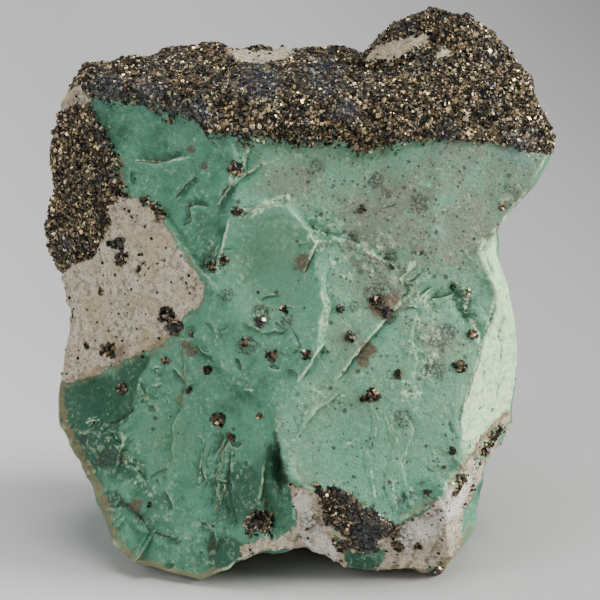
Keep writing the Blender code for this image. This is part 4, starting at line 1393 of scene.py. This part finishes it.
# %% Give it its roughness and its fine bumps
BUMP_MM = 0.22
grain = m.cloud(0.35, 4.0, 0.7) * 0.8 + m.facets(1.3) * 0.5
grain = grain + splintery * (m.facets(0.7) * 1.6 + m.cloud(0.6, 3.0, 0.7) * 0.8)
ledge = m.ramp(side, 0.07, -0.07) * m.kept("rim_step") * (0.7 / BUMP_MM)
pocks = m.ramp(m.cells(1.4), 0.16, 0.05) * m.ramp(m.cells(1.4, "Color"), 0.6, 0.7) * -0.5
chalk_grain = m.cloud(0.8, 5.0, 0.7) * 3.6 + m.facets(0.6) * 1.2
ground_grain = m.facets(0.35) * 2.5
height = (grain + ledge + pocks) * (1 - matrix_on) * (1 - pyrite_on)
height = height + chalk_grain * matrix_on + ground_grain * pyrite_bare
bump = m.node(
    "ShaderNodeBump", {}, {"Height": height, "Strength": 1.0, "Distance": BUMP_MM * MM}, "Normal"
)
rough = 0.40 + m.cloud(1.5, 3.0) * 0.16 + splintery * 0.12
rough = rough * (1 - matrix_on) + matrix_on * 0.92
m.feed(m.shader, {"Base Color": base, "Roughness": rough, "Metallic": pyrite_bare * 0.4, "Normal": bump})
stone_piece.data.materials.append(stone_look.material)
print("nodes in the stone's material:", len(m.tree.nodes))

# %% [markdown]
# ## Pyrite crystals
#
# The crust glitters because it is thousands of tiny cubes, each tilted its own way, so a few always face
# the light. One cube with cut corners and one plain cube are modelled, and Geometry Nodes sets copies of
# them on points scattered over the crust, each with its own turn and size. The copies are made real at
# once, so each layer of crystals is one ordinary mesh.

# %% Two forms of crystal
def crystal_form(name, corner_cut):
    form = bmesh.new()
    bmesh.ops.create_cube(form, size=1.0)
    if corner_cut:
        bmesh.ops.bevel(
            form, geom=form.verts[:], offset=corner_cut, affect="VERTICES", segments=1, profile=0.5,
            material=-1,
        )
    piece = make_piece(name, form)
    piece.hide_render = True
    piece.hide_viewport = True
    return piece


CORNER_CUT = 0.26
plain_cube = crystal_form("plain_cube", 0.0)
cut_cube = crystal_form("cut_cube", CORNER_CUT)
print("faces of the two forms:", len(plain_cube.data.polygons), "and", len(cut_cube.data.polygons))

# %% The node group that sets copies of a form on points
def growth_group(name, form):
    """A node group that puts a copy of the form on each point, turned and sized as the point says."""
    group = bpy.data.node_groups.new(name, "GeometryNodeTree")
    group.interface.new_socket(name="Geometry", in_out="INPUT", socket_type="NodeSocketGeometry")
    group.interface.new_socket(name="Geometry", in_out="OUTPUT", socket_type="NodeSocketGeometry")
    nodes, links = group.nodes, group.links
    start, finish = nodes.new("NodeGroupInput"), nodes.new("NodeGroupOutput")
    source, copies = nodes.new("GeometryNodeObjectInfo"), nodes.new("GeometryNodeInstanceOnPoints")
    real = nodes.new("GeometryNodeRealizeInstances")
    source.inputs["Object"].default_value = form
    links.new(start.outputs["Geometry"], copies.inputs["Points"])
    links.new(source.outputs["Geometry"], copies.inputs["Instance"])
    for value, socket in (("turn", "Rotation"), ("size", "Scale")):
        named = nodes.new("GeometryNodeInputNamedAttribute")
        named.data_type = "FLOAT_VECTOR"
        named.inputs["Name"].default_value = value
        links.new(named.outputs["Attribute"], copies.inputs[socket])
    links.new(copies.outputs["Instances"], real.inputs["Geometry"])
    links.new(real.outputs["Geometry"], finish.inputs["Geometry"])
    return group


# %% Grow a layer of crystals and make it real
def grow(name, form, points, turns, sizes, looks):
    """One mesh of copies of the form, which keeps the looks of each point at its crystal."""
    seeds = bmesh.new()
    for point in points:
        seeds.verts.new(point)
    piece = make_piece(name, seeds)
    seeds.free()
    for value, numbers in (("turn", turns), ("size", sizes)):
        store = piece.data.attributes.new(value, "FLOAT_VECTOR", "POINT")
        store.data.foreach_set("vector", numbers.astype(np.float32).ravel())
    keep_values(piece.data, looks)
    piece.modifiers.new("growth", "NODES").node_group = growth_group(name, form)
    grown = bpy.data.meshes.new_from_object(piece.evaluated_get(bpy.context.evaluated_depsgraph_get()))
    piece.modifiers.clear()
    piece.data = grown
    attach(piece, "root")
    triangle_count = sum(len(face.vertices) - 2 for face in grown.polygons)
    print(name + ":", len(points), "crystals,", triangle_count, "triangles")
    return piece


# %% The stone's faces, as places to grow on
triangles = np.array([[vertex.index for vertex in face.verts] for face in stone.faces])
corner_places = places[triangles]
crossed = np.cross(corner_places[:, 1] - corner_places[:, 0], corner_places[:, 2] - corner_places[:, 0])
areas = np.linalg.norm(crossed, axis=1) / 2.0
face_normals = crossed / (2.0 * areas[:, None])


def mean_on_faces(values):
    return values[triangles].mean(axis=1)


print("the stone's surface is", round(float(areas.sum()) / MM**2), "square millimetres")

# %% Scatter points, and draw the crystals' sizes
SMALLER_OFTEN = 2.2
OUT_OF_SQUARE = (0.75, 1.25)


def scatter(count, wanted, seed):
    """Points on the stone, as many to an area as it is wanted there, the face of each, and the draws."""
    draws = np.random.default_rng(seed)
    share = areas * wanted
    chosen = draws.choice(len(triangles), size=count, p=share / share.sum())
    first, second = draws.random((2, count))
    turned = first + second > 1.0
    first, second = np.where(turned, 1 - first, first), np.where(turned, 1 - second, second)
    corners = corner_places[chosen]
    points = corners[:, 0] + first[:, None] * (corners[:, 1] - corners[:, 0])
    points = points + second[:, None] * (corners[:, 2] - corners[:, 0])
    return points, chosen, draws


def crystal_sizes(draws, count, smallest, largest):
    """Edge lengths in metres: many small crystals and a few large ones, each a little out of square."""
    length = smallest + (largest - smallest) * draws.random(count) ** SMALLER_OFTEN
    return length[:, None] * draws.uniform(*OUT_OF_SQUARE, (count, 3)) * MM


# %% Grow the crust
clear_of_floor = mean_on_faces(smooth_step((surface[:, 2] - 1.2) / 0.8))
bare_matrix = mean_on_faces(smooth_step(0.5 - matrix / 0.5))
blue_on_faces = mean_on_faces(blue)
crust_wanted = mean_on_faces(smooth_step(0.5 + pyrite / 0.7)) * bare_matrix
crust_wanted *= 1.0 - 0.35 * blue_on_faces
crust_wanted *= clear_of_floor
crust_wanted *= 1.0 - 0.75 * mean_on_faces(hidden * smooth_step((under_top - 1.5) / 1.5))


def grow_crust(name, form, count, seed, smallest, largest):
    points, chosen, draws = scatter(count, crust_wanted, seed)
    turns = draws.uniform(0.0, math.tau, (count, 3))
    looks = {"tone": draws.random(count), "blue": blue_on_faces[chosen]}
    return grow(name, form, points, turns, crystal_sizes(draws, count, smallest, largest), looks)


crust_pieces = [
    grow_crust("pyrite_crust_fine", plain_cube, 16400, 5, 0.12, 0.30),
    grow_crust("pyrite_crust_middling", plain_cube, 16400, 8, 0.14, 0.34),
    grow_crust("pyrite_crust_coarse", plain_cube, 9000, 6, 0.18, 0.46),
    grow_crust("pyrite_crust_cut_corners", cut_cube, 900, 7, 0.24, 0.58),
]

# %% [markdown]
# ## Nodules and loose grains
#
# Pyrite also sits in small round nodules on the green and in single grains on the matrix. A nodule could be
# one lump with a bumpy surface, but it is a heap of the same cubes, so it is grown the same way: most of
# its cubes near its middle, where the heap is also a little higher.

# %% Where the nodules are, as a middle and a radius in pixels
NODULES = {
    "plateau left": (235, 168, 7.5), "basin top": (237, 211, 6), "face": (307, 355, 5),
    "shoulder": (245, 342, 5), "shoulder high": (260, 323, 6), "shoulder low": (272, 355, 6),
    "basin": (218, 420, 8), "basin two": (230, 437, 5), "basin right": (260, 416, 3.5),
    "seam": (208, 369, 5), "left": (165, 361, 4), "shoulder right": (285, 310, 4),
    "ridge": (341, 309, 4.5), "ridge low": (350, 337, 5.5), "notch": (378, 303, 7),
    "notch two": (388, 312, 6), "face top": (398, 375, 5), "face pair": (373, 396, 7),
    "face pair small": (364, 399, 4), "rim": (472, 334, 5.5), "rim low": (459, 365, 6.5),
    "foot": (453, 450, 4.5), "foot low": (428, 493, 4), "plateau": (361, 210, 4), "wing": (503, 206, 4),
    "matrix top": (116, 243, 7), "matrix high": (121, 258, 7), "matrix pit": (138, 270, 4),
    "cluster": (168, 314, 8), "cluster low": (176, 327, 8), "matrix foot": (110, 351, 8),
    "matrix left": (90, 345, 4), "matrix side": (103, 292, 4), "bottom": (393, 530, 7),
    "bottom low": (397, 545, 6), "bottom right": (418, 547, 4), "scoop": (123, 388, 6),
    "lip gold": (207, 127, 5), "lip gold two": (247, 128, 8), "seam end": (190, 390, 3.5),
    "band speck": (453, 287, 3), "band speck two": (468, 292, 3), "rim brown": (192, 335, 3),
    "low": (258, 520, 8), "left rim": (214, 267, 6), "left rim two": (224, 260, 5),
    "basin speck": (150, 505, 3), "edge": (392, 268, 2.5),
}
print(len(NODULES), "nodules")

# %% Grow the nodules
NODULE_SEED = 11
NODULE_RISE = 0.10
seen_faces = mean_on_faces(hidden) < 0.3
face_across, face_down = mean_on_faces(across), mean_on_faces(down)


def grow_nodules():
    points, turns, sizes, tones = [], [], [], []
    draws = np.random.default_rng(NODULE_SEED)
    for middle_x, middle_y, radius in NODULES.values():
        count = int(6 + 1.1 * radius**2)
        reach = np.hypot(face_across - middle_x, face_down - middle_y) / radius
        near = np.flatnonzero(seen_faces & (reach < 1.0))
        share = areas[near] * (1.15 - reach[near])
        chosen = near[draws.choice(len(near), size=count, p=share / share.sum())]
        lift = NODULE_RISE * radius / PIXELS_PER_MM * (1.0 - reach[chosen] ** 2)
        points.append(corner_places[chosen].mean(axis=1) + face_normals[chosen] * lift[:, None] * MM)
        turns.append(draws.uniform(0.0, math.tau, (count, 3)))
        sizes.append(crystal_sizes(draws, count, 0.14, 0.26 + 0.035 * radius))
        tones.append(draws.random(count))
    points, turns, sizes, tones = (np.concatenate(values) for values in (points, turns, sizes, tones))
    looks = {"tone": tones * 0.9, "blue": np.zeros(len(points))}
    return grow("pyrite_nodules", plain_cube, points, turns, sizes, looks)


nodule_piece = grow_nodules()

# %% Grow the loose grains
GRAINS = 600
GRAIN_SEED = 12
loose_wanted = mean_on_faces(smooth_step(0.5 + matrix / 0.5)) * (1.0 - 0.8 * mean_on_faces(hidden)) + 0.02
points, chosen, draws = scatter(GRAINS, loose_wanted * clear_of_floor, GRAIN_SEED)
turns = draws.uniform(0.0, math.tau, (GRAINS, 3))
sizes = crystal_sizes(draws, GRAINS, 0.08, 0.32)
looks = {"tone": draws.random(GRAINS) * 0.8, "blue": np.zeros(GRAINS)}
grain_piece = grow("pyrite_grains", plain_cube, points, turns, sizes, looks)

# %% [markdown]
# ## Pyrite's material
#
# Pyrite is a metal the colour of pale brass, but this crust is tarnished and shows mostly dark brown with
# bright points. Each crystal keeps a tone, and the material spreads the tones from near black to brass. A
# low roughness on flat faces gives the sparkle, and a noise breaks the mirror on the larger ones.

# %% Make and assign it
BRASS = colour(232, 208, 160)
TARNISH = colour(122, 108, 84)
BLACKENED = colour(38, 38, 38)
crystal_look = Maker("pyrite")
m = crystal_look
tone = m.kept("tone")
metal = m.mix(m.ramp(tone, 0.25, 0.70), BLACKENED, TARNISH)
metal = m.mix(m.ramp(tone, 0.72, 0.98), metal, BRASS)
metal = m.mix(m.ramp(m.cloud(1.8, 3.0), 0.56, 0.40) * 0.6, metal, BLACKENED)
metal = m.mix(m.ramp(m.cloud(5.0, 2.0), 0.5, 0.68) * 0.3, metal, BLUE_GREY)
metal = m.mix(m.kept("blue") * 0.75, metal, BLUE_GREY)
m.feed(m.shader, {"Base Color": metal, "Roughness": 0.20 + m.cloud(0.4, 2.0) * 0.3})
m.shader.inputs["Metallic"].default_value = 0.85
for piece in [*crust_pieces, nodule_piece, grain_piece]:
    piece.data.materials.clear()
    piece.data.materials.append(crystal_look.material)
stone.free()
for form in (plain_cube, cut_cube):
    bpy.data.objects.remove(form, do_unlink=True)
print("nodes in the pyrite's material:", len(m.tree.nodes))

# %% [markdown]
# ## Floor, light and camera
#
# A specimen is shown on grey paper that sweeps up behind it, with one soft light on the right, a wide one
# above and weak ones to fill the shadows. The paper's grey is painted lighter at the left front as painted
# light and darker to the right and upwards as painted shade. The camera looks along +Y from 15 degrees
# above, through a long lens, from the same distance that the picture frame was worked out for.

# %% The paper sweep
SWEEP_WIDE = 1.6
SWEEP_NEAR = -0.8
SWEEP_FAR = 0.45
SWEEP_CURVE = 0.35
SWEEP_TOP = 1.2
CURVE_STEPS = 12
curve_start = SWEEP_FAR - SWEEP_CURVE
sweep = bmesh.new()
profile = [(SWEEP_NEAR, 0.0), (curve_start, 0.0)]
for step in range(1, CURVE_STEPS + 1):
    turn = math.radians(90 * step / CURVE_STEPS)
    profile.append((curve_start + SWEEP_CURVE * math.sin(turn), SWEEP_CURVE * (1 - math.cos(turn))))
profile.append((SWEEP_FAR, SWEEP_TOP))
row = [sweep.verts.new((-SWEEP_WIDE / 2, y, z)) for y, z in profile]
edges = [sweep.edges.new(pair) for pair in zip(row, row[1:])]
pulled = bmesh.ops.extrude_edge_only(sweep, edges=edges)
moved = [item for item in pulled["geom"] if isinstance(item, bmesh.types.BMVert)]
bmesh.ops.translate(sweep, verts=moved, vec=(SWEEP_WIDE, 0.0, 0.0))
bmesh.ops.recalc_face_normals(sweep, faces=sweep.faces)
paper = make_piece("paper_sweep", sweep)
sweep.free()
paper.data.shade_smooth()
print("paper of", len(paper.data.polygons), "faces")

# %% Painted light at the left front and painted shade deepening to the right and upwards
PAPER_PAINTED_LIGHT = colour(214, 214, 212)
PAPER_MIDDLE = colour(176, 176, 176)
PAPER_PAINTED_SHADE = colour(108, 108, 108)
TOWARDS_PAINTED_SHADE = (1.0, 0.25, 0.6)
paper_look = Maker("grey_paper")
m = paper_look
away = m.node("ShaderNodeVectorMath", {"operation": "DOT_PRODUCT"}, {0: m.place, 1: TOWARDS_PAINTED_SHADE}, "Value")
paper_grey = m.mix(m.ramp(away, -0.06, 0.03), PAPER_PAINTED_LIGHT, PAPER_MIDDLE)
m.feed(m.shader, {"Base Color": m.mix(m.ramp(away, 0.04, 0.17), paper_grey, PAPER_PAINTED_SHADE)})
m.shader.inputs["Roughness"].default_value = 0.9
paper.data.materials.append(paper_look.material)
print("nodes in the paper's material:", len(m.tree.nodes))

# %% Lights
LIT_PLACE = Vector((0.0, 0.0, 0.03))


def soft_light(name, place, size, power, tint):
    lamp = bpy.data.lights.new(name, "AREA")
    lamp.shape = "DISK"
    lamp.size = size
    lamp.energy = power
    lamp.color = tint
    holder = bpy.data.objects.new(name, lamp)
    holder.location = place
    holder.rotation_euler = (LIT_PLACE - Vector(place)).to_track_quat("-Z", "Y").to_euler()
    bpy.context.collection.objects.link(holder)
    print(name + ":", power, "W")


soft_light("right key", (0.62, -0.10, 0.26), 0.34, 9.0, (1.0, 0.98, 0.95))
soft_light("top", (0.06, -0.10, 0.80), 0.55, 4.6, (1.0, 1.0, 1.0))
soft_light("left fill", (-0.50, -0.45, 0.35), 0.50, 2.6, (0.97, 0.98, 1.0))
soft_light("paper bounce", (0.00, -0.32, 0.03), 0.30, 0.18, (1.0, 0.86, 0.68))
world = bpy.data.worlds.new("studio")
world.use_nodes = True
background = world.node_tree.nodes["Background"]
background.inputs["Color"].default_value = (0.9, 0.94, 1.0, 1.0)
background.inputs["Strength"].default_value = 0.17
bpy.context.scene.world = world

# %% Camera
SENSOR_MM = 36.0
lens = bpy.data.cameras.new("camera")
lens.sensor_width = SENSOR_MM
lens.lens = SENSOR_MM * EYE_DISTANCE * PIXELS_PER_MM / PICTURE
lens.clip_start = 0.01
off_middle = RIGHTWARD * (PICTURE / 2 - MIDDLE_PX[0]) - UPWARD * (PICTURE / 2 - MIDDLE_PX[1])
eye = MIDDLE - BOX_MIDDLE + TOWARDS * EYE_DISTANCE + off_middle / PIXELS_PER_MM
camera = bpy.data.objects.new("camera", lens)
camera.location = eye * MM
camera.rotation_euler = (math.pi / 2 - EYE_UP, 0.0, 0.0)
bpy.context.collection.objects.link(camera)
bpy.context.scene.camera = camera
print("lens", round(lens.lens, 1), "mm, camera at", [round(value, 3) for value in camera.location])
